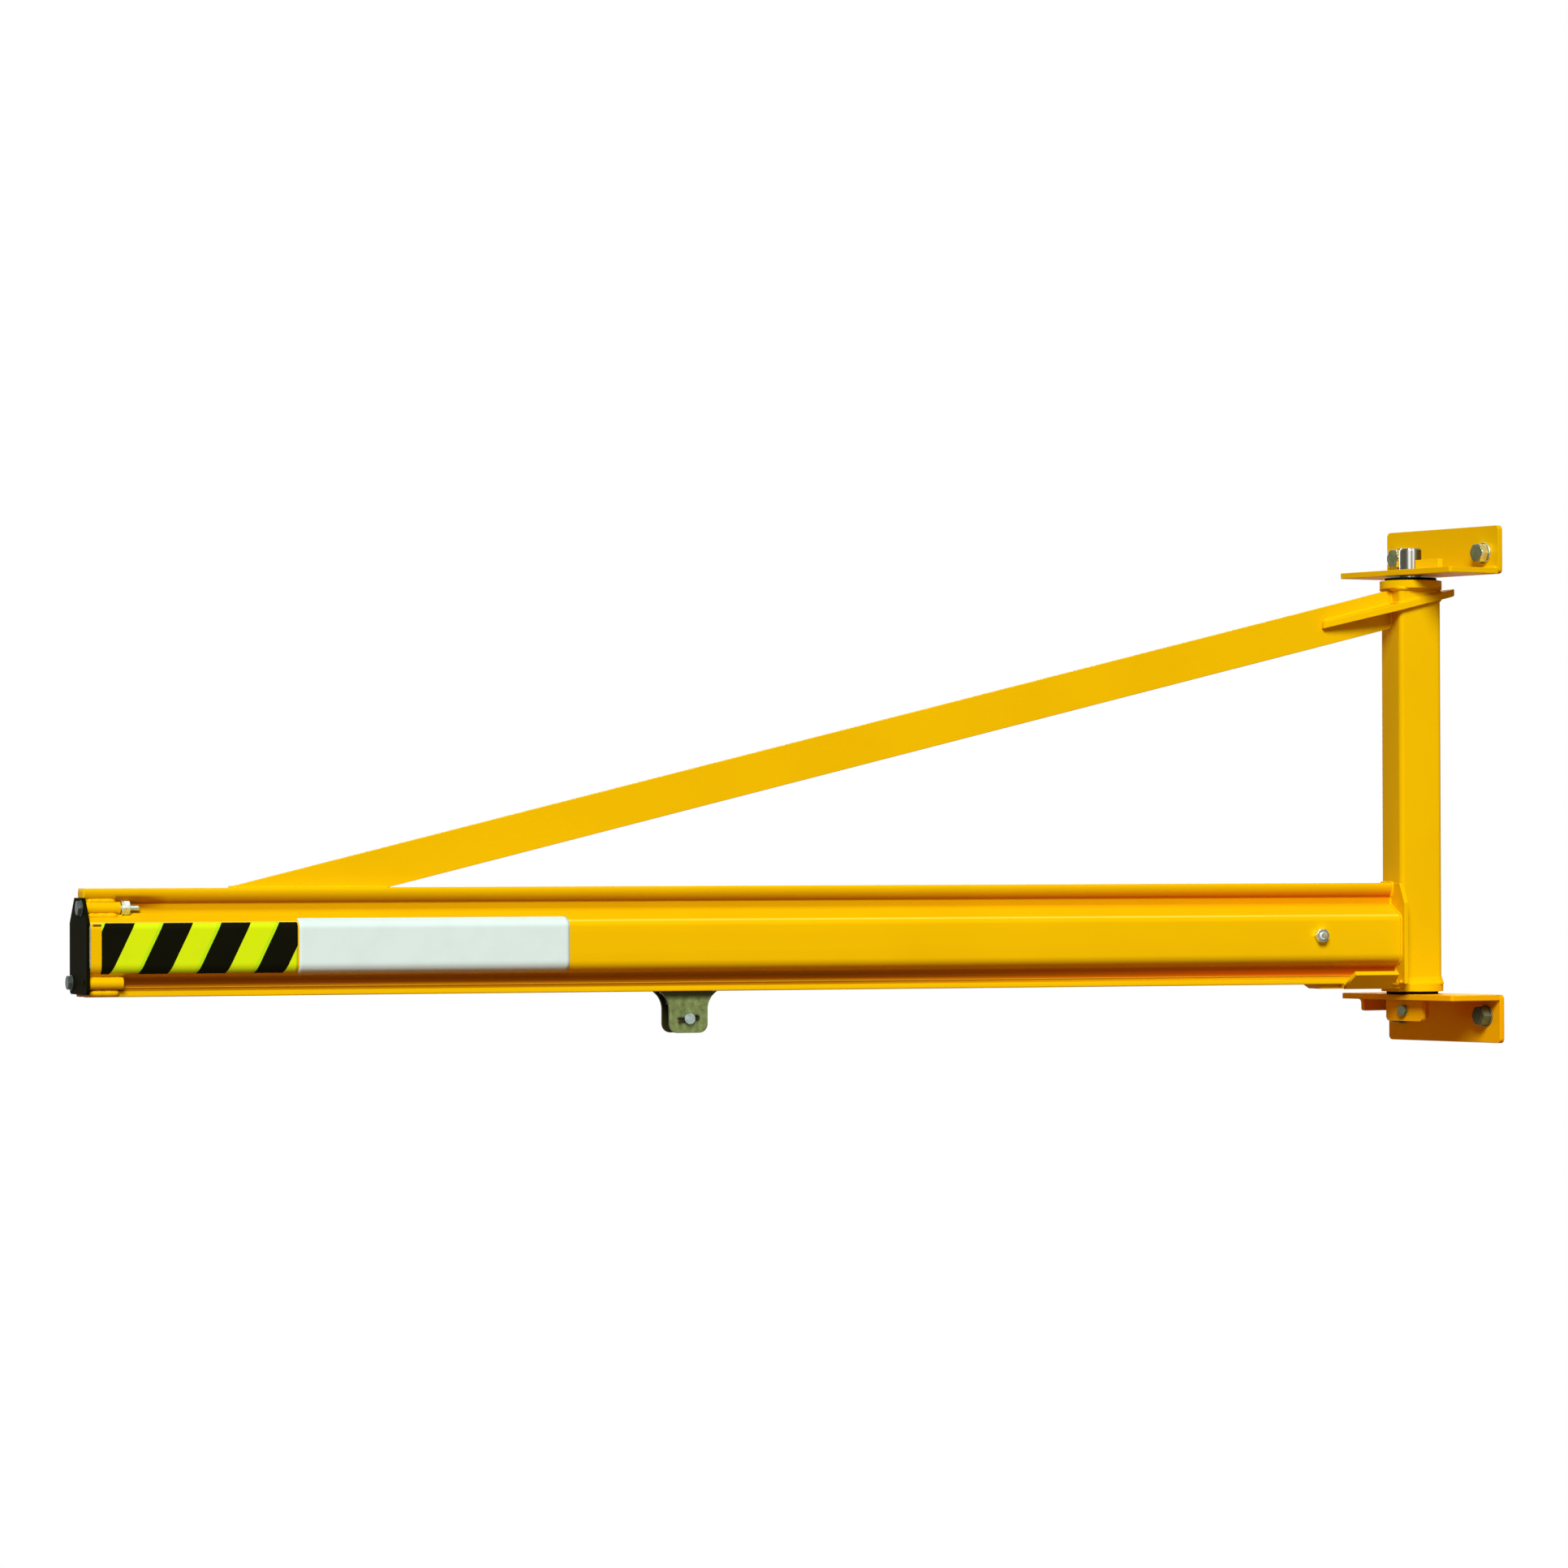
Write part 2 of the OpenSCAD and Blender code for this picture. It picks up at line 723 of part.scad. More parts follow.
// Bent plate under the track: a flat floor with a tongue, and a wing on each side that rises
module root_saddle() {
    wing_a = atan(wing_rise / wing_w);
    wing_l = wing_w / cos(wing_a);
    wing_start_u = disc_d / 2 + wing_gap;
    color(paint)
        arm_frame()
            difference() {
                translate([0, 0, track_z - saddle_t])
                    union() {
                        translate([0, -saddle_w / 2, 0])
                            cube([wing_end_u, saddle_w, saddle_t]);
                        translate([0, saddle_tongue_w / 2, 0])
                            plate_along(saddle_tongue_w)
                                polygon([
                                    [0, 0],
                                    [saddle_l - 1.5 * saddle_t, 0],
                                    [saddle_l, saddle_t],
                                    [0, saddle_t]
                                ]);
                        for (side = [-1, 1])
                            scale([1, side, 1])
                                translate([0, saddle_w / 2, 0])
                                    rotate([wing_a, 0, 0])
                                        linear_extrude(saddle_t)
                                            polygon([
                                                [wing_start_u, -1],
                                                [wing_end_u, -1],
                                                [wing_end_u, 0],
                                                [wing_end_u - wing_taper, wing_l],
                                                [wing_start_u + wing_root_taper, wing_l],
                                                [wing_start_u, 0]
                                            ]);
                    }
                translate([0, 0, lower_disc_z - 1])
                    cylinder(d = disc_d, h = disc_t + 1, $fn = 96);
            }
}

module root_stop_bolt() {
    thick = nut_height(stop_bolt_d);
    color(zinc)
        arm_frame()
            translate([stop_u, -track_w / 2, track_z + stop_z])
                rotate([90, 0, 0]) {
                    hex_bolt(stop_bolt_d, track_w + thick + nut_overrun);
                    translate([0, 0, -track_w - thick])
                        cylinder(d = over_flats(stop_bolt_d) / cos(30), h = thick, $fn = 6);
                }
}

buffer_z = flange_t + 3;
buffer_top_z = stop_z + stop_bolt_d;

module buffer_block() {
    translate([0, -buffer_w / 2, track_z + buffer_z])
        cube([buffer_l, buffer_w, buffer_top_z - buffer_z]);
}

module root_buffer() {
    color(black)
        arm_frame()
            difference() {
                translate([stop_u - buffer_l / 2, 0, 0])
                    buffer_block();
                translate([stop_u, 0, track_z + stop_z])
                    rotate([90, 0, 0])
                        cylinder(d = stop_bolt_d, h = track_w, center = true);
            }
}

module tip_buffer() {
    color(black)
        arm_frame()
            translate([arm_l - buffer_l, 0, 0])
                buffer_block();
}

// ---- tip fittings ----

upper_sleeve_y = neck_w / 2 + sleeve_d / 2 - sleeve_seat;
upper_sleeve_z = track_h - head_h - sleeve_d / 2 + sleeve_seat;
lower_sleeve_y = web_y + sleeve_d / 2 - sleeve_seat;

module end_cap() {
    cap_top_z = track_h - cap_top_gap;
    cap_full_z = cap_top_z - cap_shoulder_h;
    half = concat(
        arc([side_y - cap_r, cap_bottom_z + cap_r], cap_r, 270, 360),
        [[side_y, cap_full_z], [cap_top_w / 2, cap_top_z]]
    );
    color(black)
        arm_frame()
            difference() {
                translate([arm_l, 0, track_z])
                    plate_across(cap_t)
                        polygon(concat(half, mirrored(half)));
                for (side = [-1, 1]) {
                    translate([arm_l - 1, side * upper_sleeve_y, track_z + upper_sleeve_z])
                        rotate([0, 90, 0])
                            cylinder(d = cap_bolt_d + 2 * cap_bolt_clearance, h = cap_t + 2);
                    translate([arm_l - 1, side * lower_sleeve_y, track_z + lower_sleeve_z])
                        rotate([0, 90, 0])
                            cylinder(d = cap_bolt_d + 2 * cap_bolt_clearance, h = cap_t + 2);
                }
            }
}

// Tube beside the track for an end cap bolt; what would enter the track is cut away
module sleeve(y, z) {
    color(paint)
        arm_frame()
            difference() {
                translate([arm_l - sleeve_l, y, track_z + z])
                    rotate([0, 90, 0])
                        difference() {
                            cylinder(d = sleeve_d, h = sleeve_l);
                            translate([0, 0, -1])
                                cylinder(d = cap_bolt_d + 2 * cap_bolt_clearance, h = sleeve_l + 2);
                        }
                translate([arm_l - sleeve_l - 1, 0, track_z])
                    plate_across(sleeve_l + 2)
                        track_section();
            }
}

module upper_sleeve_near() { sleeve(upper_sleeve_y, upper_sleeve_z); }
module upper_sleeve_far() { sleeve(-upper_sleeve_y, upper_sleeve_z); }
module lower_sleeve_near() { sleeve(lower_sleeve_y, lower_sleeve_z); }
module lower_sleeve_far() { sleeve(-lower_sleeve_y, lower_sleeve_z); }

module cap_bolt(y, z) {
    thick = nut_height(cap_bolt_d) + bolt_washer_t;
    grip = cap_t + sleeve_l;
    color(zinc)
        arm_frame()
            translate([arm_l + cap_t, y, track_z + z])
                rotate([0, 90, 0]) {
                    hex_bolt(cap_bolt_d, grip + thick + cap_bolt_tail, bolt_washer_t);
                    translate([0, 0, -grip - bolt_washer_t])
                        cylinder(d = 1.8 * cap_bolt_d, h = bolt_washer_t);
                    translate([0, 0, -grip - thick])
                        cylinder(d = over_flats(cap_bolt_d) / cos(30), h = nut_height(cap_bolt_d), $fn = 6);
                }
}

module upper_cap_bolt() { cap_bolt(upper_sleeve_y, upper_sleeve_z); }
module lower_cap_bolt() { cap_bolt(-lower_sleeve_y, lower_sleeve_z); }

// ---- trolley ----

wheel_z = flange_t + wheel_gap + wheel_d / 2;
wheel_y = slot_w / 2 + 1;
carriage_top_z = wheel_z + axle_d + 4;
hanger_h = 18;
hanger_w = clevis_w - 8;

module trolley_carriage() {
    half_l = wheel_base / 2 + axle_d + 2;
    neck_half = clevis_top_w / 2 - 3;
    color(zinc)
        trolley_frame()
            difference() {
                union() {
                    translate([0, carriage_t / 2, 0])
                        plate_along(carriage_t)
                            polygon([
                                [-neck_half, -clevis_clearance],
                                [neck_half, -clevis_clearance],
                                [half_l, wheel_z - axle_d],
                                [half_l, carriage_top_z - 8],
                                [half_l - 8, carriage_top_z],
                                [8 - half_l, carriage_top_z],
                                [-half_l, carriage_top_z - 8],
                                [-half_l, wheel_z - axle_d]
                            ]);
                    translate([-hanger_w / 2, -clevis_gap / 2, -clevis_clearance - hanger_h])
                        cube([hanger_w, clevis_gap, hanger_h]);
                }
                for (side = [-1, 1])
                    translate([side * wheel_base / 2, 0, wheel_z])
                        rotate([90, 0, 0])
                            cylinder(d = axle_d, h = carriage_t + 2, center = true);
            }
}

module axle(side) {
    l = 2 * (wheel_y + wheel_w + 3);
    color(steel)
        trolley_frame()
            translate([side * wheel_base / 2, 0, wheel_z])
                rotate([90, 0, 0])
                    cylinder(d = axle_d, h = l, center = true);
}

module front_axle() { axle(1); }
module rear_axle() { axle(-1); }

// Crowned roller with a hub that reaches in to the trolley plate
module wheel(end, side) {
    hub_d = axle_d + 10;
    color(steel)
        trolley_frame()
            translate([end * wheel_base / 2, 0, wheel_z])
                rotate([-90 * side, 0, 0])
                    rotate_extrude()
                        polygon([
                            [axle_d / 2, carriage_t / 2],
                            [hub_d / 2, carriage_t / 2],
                            [hub_d / 2, wheel_y],
                            [wheel_d / 2 - 1, wheel_y],
                            [wheel_d / 2, wheel_y + 1.5],
                            [wheel_d / 2, wheel_y + wheel_w - 1.5],
                            [wheel_d / 2 - 1, wheel_y + wheel_w],
                            [axle_d / 2, wheel_y + wheel_w]
                        ]);
}

module front_wheel_near() { wheel(1, 1); }
module front_wheel_far() { wheel(1, -1); }
module rear_wheel_near() { wheel(-1, 1); }
module rear_wheel_far() { wheel(-1, -1); }

clevis_flare_w = (clevis_top_w - clevis_w) / 2;
clevis_flare_r = (pow(clevis_flare_w, 2) + pow(clevis_flare_h, 2)) / (2 * clevis_flare_w);
clevis_flare_a = asin(clevis_flare_h / clevis_flare_r);
clevis_half = concat(
    arc([clevis_w / 2 - clevis_corner_r, clevis_corner_r - clevis_drop], clevis_corner_r, 270, 360),
    arc([clevis_w / 2 + clevis_flare_r, -clevis_clearance - clevis_flare_h], clevis_flare_r,
        180, 180 - clevis_flare_a)
);

// Cheek plate that flares under the track, with round lower corners
module clevis_plate(side) {
    color(zinc)
        trolley_frame()
            difference() {
                translate([0, side * (clevis_gap + clevis_t) / 2 + clevis_t / 2, 0])
                    plate_along(clevis_t)
                        polygon(concat(clevis_half, mirrored(clevis_half)));
                translate([0, 0, -load_pin_drop])
                    rotate([90, 0, 0])
                        cylinder(d = load_pin_d, h = 2 * clevis_gap + 4 * clevis_t, center = true);
            }
}

module clevis_plate_near() { clevis_plate(1); }
module clevis_plate_far() { clevis_plate(-1); }

module load_pin() {
    l = clevis_gap + 2 * clevis_t + 2 * load_pin_over;
    color(zinc)
        trolley_frame()
            translate([0, 0, -load_pin_drop])
                rotate([90, 0, 0])
                    difference() {
                        cylinder(d = load_pin_d, h = l, center = true);
                        for (end = [-1, 1])
                            translate([0, 0, end * (l / 2 - load_pin_over / 2)])
                                rotate([90, 0, 0])
                                    cylinder(d = 4, h = load_pin_d + 2, center = true);
                    }
}

lower_wall_plate();
lower_bearing_plate();
lower_rib();
lower_front_lug();
lower_rear_lug();
lower_pivot_pin();
lug_bolt();
lower_wall_bolt_left();
lower_wall_bolt_right();
upper_wall_plate();
upper_bearing_plate();
upper_keeper_tab();
upper_pivot_pin();
upper_wall_bolt_left();
upper_wall_bolt_right();
post();
lower_disc();
upper_disc();
lower_thrust_washer();
upper_thrust_washer();
tie_bar();
collar_plate();
track_beam();
root_end_plate();
root_saddle();
root_stop_bolt();
root_buffer();
tip_buffer();
end_cap();
upper_sleeve_near();
upper_sleeve_far();
lower_sleeve_near();
lower_sleeve_far();
upper_cap_bolt();
lower_cap_bolt();
trolley_carriage();
front_axle();
rear_axle();
front_wheel_near();
front_wheel_far();
rear_wheel_near();
rear_wheel_far();
clevis_plate_near();
clevis_plate_far();
load_pin();
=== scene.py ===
import json
import math

import bmesh
import bpy
import numpy as np
from mathutils import Matrix, Vector

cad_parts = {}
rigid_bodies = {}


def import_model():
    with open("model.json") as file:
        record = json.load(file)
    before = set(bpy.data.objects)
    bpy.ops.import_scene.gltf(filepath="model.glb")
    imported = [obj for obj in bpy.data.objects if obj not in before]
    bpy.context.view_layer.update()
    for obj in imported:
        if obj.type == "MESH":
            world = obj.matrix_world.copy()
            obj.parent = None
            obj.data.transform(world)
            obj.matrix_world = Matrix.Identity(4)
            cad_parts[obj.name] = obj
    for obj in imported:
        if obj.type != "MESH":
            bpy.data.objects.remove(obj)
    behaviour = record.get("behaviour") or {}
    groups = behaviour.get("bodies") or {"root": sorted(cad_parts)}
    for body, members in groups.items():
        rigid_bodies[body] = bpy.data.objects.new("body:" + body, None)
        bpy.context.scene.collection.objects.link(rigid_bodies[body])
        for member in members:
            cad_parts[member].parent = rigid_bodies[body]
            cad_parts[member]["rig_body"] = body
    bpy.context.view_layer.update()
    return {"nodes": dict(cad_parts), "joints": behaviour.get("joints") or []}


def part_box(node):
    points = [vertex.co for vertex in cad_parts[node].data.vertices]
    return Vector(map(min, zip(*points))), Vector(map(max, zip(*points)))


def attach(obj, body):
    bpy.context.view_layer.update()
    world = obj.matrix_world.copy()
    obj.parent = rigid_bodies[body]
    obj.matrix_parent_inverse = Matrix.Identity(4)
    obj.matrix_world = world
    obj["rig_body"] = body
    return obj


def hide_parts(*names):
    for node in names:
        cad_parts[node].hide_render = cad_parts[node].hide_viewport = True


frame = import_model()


# ---------------------------------------------------------------------------
# Powder coat. Every steel plate, the post and the track wear one sprayed and
# baked coat of signal yellow. It lies in a fine orange peel, is a little duller
# in patches, and carries dust specks and faint scuffs.

class Value:
    """An output of a shader node. Arithmetic with numbers or other outputs adds Math nodes."""

    def __init__(self, finish, socket):
        self.finish, self.socket = finish, socket

    def maths(self, operation, first, second):
        return self.finish.node("ShaderNodeMath", {"operation": operation}, {0: first, 1: second})

    def __add__(self, other):
        return self.maths("ADD", self, other)

    def __radd__(self, other):
        return self.maths("ADD", other, self)

    def __sub__(self, other):
        return self.maths("SUBTRACT", self, other)

    def __rsub__(self, other):
        return self.maths("SUBTRACT", other, self)

    def __mul__(self, other):
        return self.maths("MULTIPLY", self, other)

    def __rmul__(self, other):
        return self.maths("MULTIPLY", other, self)

    def __truediv__(self, other):
        return self.maths("DIVIDE", self, other)

    def __rtruediv__(self, other):
        return self.maths("DIVIDE", other, self)

    def above(self, edge, width):
        """0 below edge, 1 above edge + width, and a straight rise between."""
        return self.finish.node("ShaderNodeClamp", {}, {"Value": (self - edge) / width})


class Finish:
    """A material, or the world round the part, whose nodes are added one call at a time."""

    def __init__(self, name, world=None):
        self.material = world or bpy.data.materials.new(name)
        self.material.use_nodes = True
        self.material.node_tree.nodes.clear()

    def node(self, kind, settings={}, sockets={}, out=0):
        """Adds a node: its settings come first, then a value or a link for each named socket."""
        made = self.material.node_tree.nodes.new(kind)
        for key, setting in settings.items():
            if key == "stops":
                ramp = made.color_ramp
                ramp.elements.remove(ramp.elements[1])
                first, *others = setting
                ramp.elements[0].position, ramp.elements[0].color = first[0], (*first[1], 1)
                for place, colour in others:
                    ramp.elements.new(place).color = (*colour, 1)
            else:
                setattr(made, key, setting)
        for key, given in sockets.items():
            if isinstance(given, Value):
                self.material.node_tree.links.new(given.socket, made.inputs[key])
            else:
                made.inputs[key].default_value = given
        return Value(self, made.outputs[out]) if len(made.outputs) else made

    def place(self):
        """Where the point lies on the object, in metres."""
        return self.node("ShaderNodeTexCoord", out="Object")

    def parts(self, vector):
        """The three components of a vector output."""
        split = self.node("ShaderNodeSeparateXYZ", {}, {0: vector})
        return [Value(self, output) for output in split.socket.node.outputs]

    def along(self, place, way):
        """Distance of a place along a unit vector."""
        return self.node("ShaderNodeVectorMath", {"operation": "DOT_PRODUCT"},
                         {0: place, 1: tuple(way)}, out="Value")

    def noise(self, place, scale, detail=2.0, rough=0.5):
        """Even noise between 0 and 1, with `scale` swells to the metre."""
        return self.node("ShaderNodeTexNoise", {},
                         {"Vector": place, "Scale": scale, "Detail": detail, "Roughness": rough})

    def blend(self, factor, a, b):
        """Colour a where factor is 0 and colour b where it is 1."""
        a, b = [c if isinstance(c, Value) else (*c, 1) for c in (a, b)]
        return self.node("ShaderNodeMix", {"data_type": "RGBA"}, {0: factor, 6: a, 7: b}, out=2)

    def bump(self, height, distance, strength):
        """Normals tilted by the slope of `height`, of which 1 stands for `distance` metres."""
        return self.node("ShaderNodeBump", {},
                         {"Strength": strength, "Distance": distance, "Height": height})

    def surface(self, **sockets):
        """Ends the material in one Principled shader; names use _ for spaces."""
        sockets = {key.replace("_", " "): given for key, given in sockets.items()}
        shader = self.node("ShaderNodeBsdfPrincipled", {}, sockets)
        self.node("ShaderNodeOutputMaterial", {}, {"Surface": shader})
        return self.material


def powder_coat(name="powder_coat", light=(0.86, 0.540, 0.0012), dark=(0.83, 0.515, 0.0009), grime_and_shade=None):
    """The coat goes from `dark` to `light` in broad patches; the last argument gives masks and their
    colours, which on the track are painted shade, painted highlights and a scrape.
    """
    coat = Finish(name)
    at = coat.place()
    patch = coat.noise(at, 5.0, 3.0)
    peel = coat.noise(at, 700.0, 1.0)
    swell = coat.noise(at, 60.0, 2.0)
    speck = coat.noise(at, 420.0, 2.0, 0.7).above(0.74, 0.03)
    scuff = coat.noise(at, 24.0, 6.0, 0.72).above(0.69, 0.05)
    tone = coat.blend(patch.above(0.35, 0.3), dark, light)
    for mask, colour in grime_and_shade(coat, at) if grime_and_shade else ():
        tone = coat.blend(mask, tone, colour)
    tone = coat.blend(scuff * 0.10, tone, (0.60, 0.30, 0.01))
    tone = coat.blend(speck * 0.35, tone, (0.45, 0.25, 0.02))
    return coat.surface(
        Base_Color=tone,
        Roughness=0.30 + 0.10 * patch + 0.15 * scuff,
        Metallic=0.08,
        Specular_IOR_Level=0.0,
        Normal=coat.bump(0.6 * peel + swell, 0.00025, 0.35))


joints = {joint["name"]: joint for joint in frame["joints"]}
out = np.array(joints["trolley_travel"]["axis"], float)
near = np.array([-out[1], out[0], 0.0])
above = np.array([0.0, 0.0, 1.0])
hinge = np.array([*joints["arm_swing"]["pos_m"][:2], 0.0])
track_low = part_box("track_beam")[0].z


def track_painted_light_and_scrape(coat, at):
    """Painted shade in the grooves and under the head, painted highlights along the shoulder bend and the
    lip, a darker patch by the upper sleeve and a scrape by the tip, by the height over the track's bottom
    and the distance from the pivot. A band rises in a straight line from `start` and falls in one from
    `end`."""
    def band(value, start, rise, end, fall):
        return value.above(start, rise) - value.above(end, fall)

    height = coat.along(at, above) - track_low
    reach = coat.along(at, out) - float(hinge @ out)
    # Painted shade in the grooves above the lip and under the flank, and in the neck under the head; the
    # grooves' shade is weaker towards the root.
    shade_share = 0.4 + 0.6 * reach.above(0.4, 0.7)
    lip_groove_shade = 0.85 * band(height, 0.0085, 0.0015, 0.0130, 0.001) * shade_share
    groove_shade = band(height, 0.0135, 0.003, 0.028, 0.006) + lip_groove_shade
    deep_groove_shade = 0.9 * band(height, 0.0180, 0.002, 0.0255, 0.004) * shade_share
    neck_shade = (0.50 * height.above(0.134, 0.006) + 0.40 * height.above(0.149, 0.003)
            - 0.90 * height.above(0.153, 0.019))
    # A darker patch in the neck beside the upper sleeve.
    sleeve_patch = 0.6 * band(height, 0.140, 0.006, 0.160, 0.006) * band(reach, 2.235, 0.05, 2.322, 0.001)
    # Painted highlights along the shoulder's bend and the lip's upper edge.
    bend_highlight = 0.75 * band(height, 0.1172, 0.0014, 0.1200, 0.0014)
    lip_highlight = 0.40 * band(height, 0.0136, 0.0006, 0.0152, 0.0006)
    scrape = 0.9 * band(height, 0.1135, 0.0006, 0.1172, 0.0006) * band(reach, 2.345, 0.002, 2.367, 0.002)
    # Colours: the painted shade, more orange towards the root, then its deeper part, then the painted
    # highlight and the scrape.
    shade_tone = coat.blend(reach.above(0.3, 0.8), (0.60, 0.100, 0.0004), (0.36, 0.120, 0.0006))
    deep_shade_tone, highlight_tone, scratched = (0.17, 0.035, 0.0003), (0.97, 0.78, 0.065), (0.05, 0.025, 0.002)
    return ((groove_shade + neck_shade + sleeve_patch, shade_tone), (deep_groove_shade, deep_shade_tone),
            (bend_highlight + lip_highlight, highlight_tone), (scrape, scratched))


yellow = powder_coat()
# The track's coat carries painted shade and painted highlights.
track_yellow = powder_coat("track_powder_coat", grime_and_shade=track_painted_light_and_scrape)
# A brighter copy of the coat: painted light on the head plug, and the keeper tab wears it to stand brighter
# than the plate behind it.
lit_yellow = powder_coat("lit_powder_coat", (0.98, 0.64, 0.004), (0.96, 0.61, 0.003))
# Painted shade: a deeper, more orange copy of the coat for the lower bracket, which lies in shade.
shaded_yellow = powder_coat("lower_bracket_shaded_coat", (0.96, 0.475, 0.0010), (0.93, 0.450, 0.0008))


# ---------------------------------------------------------------------------
# Plates, post and bars: cut from flat bar, plate and square tube, with their
# edges rolled over by grinding and by the thick coat. Each takes over from its
# plain solid, with the same faces and a small round on every edge.

nodes = frame["nodes"]


def eased(name, width, finish, turn=30.0):
    """The solid's own surface with every edge sharper than `turn` degrees rounded to `width`."""
    shell = bmesh.new()
    shell.from_mesh(nodes[name].data)
    bmesh.ops.remove_doubles(shell, verts=shell.verts, dist=1e-6)
    bmesh.ops.dissolve_limit(shell, angle_limit=math.radians(0.3), verts=shell.verts, edges=shell.edges)
    mesh = bpy.data.meshes.new(name + "_eased")
    shell.to_mesh(mesh)
    shell.free()
    mesh.polygons.foreach_set("use_smooth", np.ones(len(mesh.polygons), bool))
    mesh.set_sharp_from_angle(angle=math.radians(turn))
    piece = bpy.data.objects.new(name + "_eased", mesh)
    bpy.context.scene.collection.objects.link(piece)
    rounds = piece.modifiers.new("rounds", "BEVEL")
    rounds.width, rounds.segments = width, 2
    rounds.limit_method, rounds.angle_limit = "ANGLE", math.radians(turn)
    rounds.harden_normals = True
    mesh.materials.append(finish)
    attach(piece, nodes[name]["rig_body"])
    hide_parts(name)


plate_round, thin_round = 0.0012, 0.0008
for name in ("upper_wall_plate", "upper_bearing_plate", "post", "lower_disc", "upper_disc", "tie_bar",
             "collar_plate", "root_end_plate", "root_saddle"):
    eased(name, plate_round, yellow)
for name in ("lower_wall_plate", "lower_bearing_plate", "lower_rib", "lower_front_lug", "lower_rear_lug"):
    eased(name, plate_round, shaded_yellow)
eased("upper_keeper_tab", plate_round, lit_yellow)
eased("track_beam", thin_round, track_yellow, turn=24.0)
for name in ("upper_sleeve_near", "upper_sleeve_far", "lower_sleeve_near", "lower_sleeve_far"):
    eased(name, thin_round, yellow)


# ---------------------------------------------------------------------------
# Weld beads: steel run into the corners by hand before painting, so they wear
# the same coat. Each is a half-sunk round seam with the small even waves that
# the welder's hand leaves.

def skin(points, wrap=False):
    """Quads over a (rows, around, 3) array of points; each row closes on itself. `wrap` also
    joins the last row to the first, otherwise both end rows are closed by one face each."""
    rows, around = points.shape[:2]
    index = np.arange(rows * around).reshape(rows, around)
    top = index if wrap else index[:-1]
    below = np.roll(index, -1, axis=0) if wrap else index[1:]
    quads = np.stack([top, below, np.roll(below, -1, axis=1), np.roll(top, -1, axis=1)], axis=-1)
    faces = quads.reshape(-1, 4).tolist()
    if not wrap:
        faces += [index[0].tolist(), index[-1, ::-1].tolist()]
    return points.reshape(-1, 3), faces


def build(name, skins, finish, body, sharp=40.0):
    """Joins closed skins into one piece of the body, with every face turned outwards."""
    verts, faces, start = [], [], 0
    for points, quads in skins:
        verts.append(points)
        faces += [[corner + start for corner in face] for face in quads]
        start += len(points)
    mesh = bpy.data.meshes.new(name)
    mesh.from_pydata(np.concatenate(verts).tolist(), [], faces)
    shell = bmesh.new()
    shell.from_mesh(mesh)
    bmesh.ops.recalc_face_normals(shell, faces=shell.faces)
    shell.to_mesh(mesh)
    shell.free()
    mesh.polygons.foreach_set("use_smooth", np.ones(len(mesh.polygons), bool))
    mesh.set_sharp_from_angle(angle=math.radians(sharp))
    mesh.materials.append(finish)
    piece = bpy.data.objects.new(name, mesh)
    bpy.context.scene.collection.objects.link(piece)
    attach(piece, body)
    return piece


def bead(path, radius, across, closed=False, wave=0.0045):
    """A circle carried along a path, at even steps of its length s. Its radius is radius times
    0.92 + 0.04 cos(2 pi s / wave), plus two slower swells of 0.05 and 0.04, and an open path
    runs out in round ends. `across` is a direction that the path never takes."""
    path = np.asarray(path, float)
    if closed:
        path = np.concatenate([path, path[:1]])
    run = np.concatenate([[0], np.cumsum(np.linalg.norm(np.diff(path, axis=0), axis=1))])
    step = 0.0011
    count = max(int(run[-1] / step), 8)
    s = np.linspace(0, run[-1], count, endpoint=not closed)
    middle = np.stack([np.interp(s, run, path[:, axis]) for axis in range(3)], axis=1)
    if closed:
        ahead = np.roll(middle, -2, axis=0) - np.roll(middle, 2, axis=0)
    else:
        ahead = np.gradient(middle, axis=0)
    ahead /= np.linalg.norm(ahead, axis=1, keepdims=True)
    side = np.cross(ahead, across)
    side /= np.linalg.norm(side, axis=1, keepdims=True)
    up = np.cross(side, ahead)
    size = radius * (0.92 + 0.04 * np.cos(2 * np.pi * s / wave) + 0.05 * np.sin(47 * s + 3000 * radius)
                     + 0.04 * np.sin(390 * s + 2000 * radius))
    if not closed:
        ends = np.minimum(s, run[-1] - s) / (1.5 * radius)
        size = size * np.sqrt(np.clip(1 - (1 - np.clip(ends, 0.02, 1)) ** 2, 0.02, 1))
    turn = np.linspace(0, 2 * np.pi, 10, endpoint=False)
    ring = np.cos(turn)[None, :, None] * side[:, None, :] + np.sin(turn)[None, :, None] * up[:, None, :]
    return skin(middle[:, None, :] + size[:, None, None] * ring, wrap=closed)


def arm(u, v, z):
    """Row-frame points for distances out along the arm, towards its near side, and up from the
    track's bottom."""
    u, v, z = np.broadcast_arrays(np.asarray(u, float), v, z)
    return hinge + u[..., None] * out + v[..., None] * near + (z[..., None] + track_low) * above


def rounded_square(half, r, count=8):
    """Points once round a square with round corners: each corner's centre, half - r off both
    middle lines, plus r (cos t, sin t) over its quarter turn."""
    t = np.linspace(0, np.pi / 2, count)
    off = half - r
    corners = [(off, off, 0), (-off, off, 1), (-off, -off, 2), (off, -off, 3)]
    return np.concatenate([np.stack([x + r * np.cos(t + quarter * np.pi / 2),
                                     y + r * np.sin(t + quarter * np.pi / 2)], axis=1)
                           for x, y, quarter in corners])


post_half, post_round = 0.040, 0.009
post_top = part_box("post")[1].z - track_low
post_outline = rounded_square(post_half, post_round)


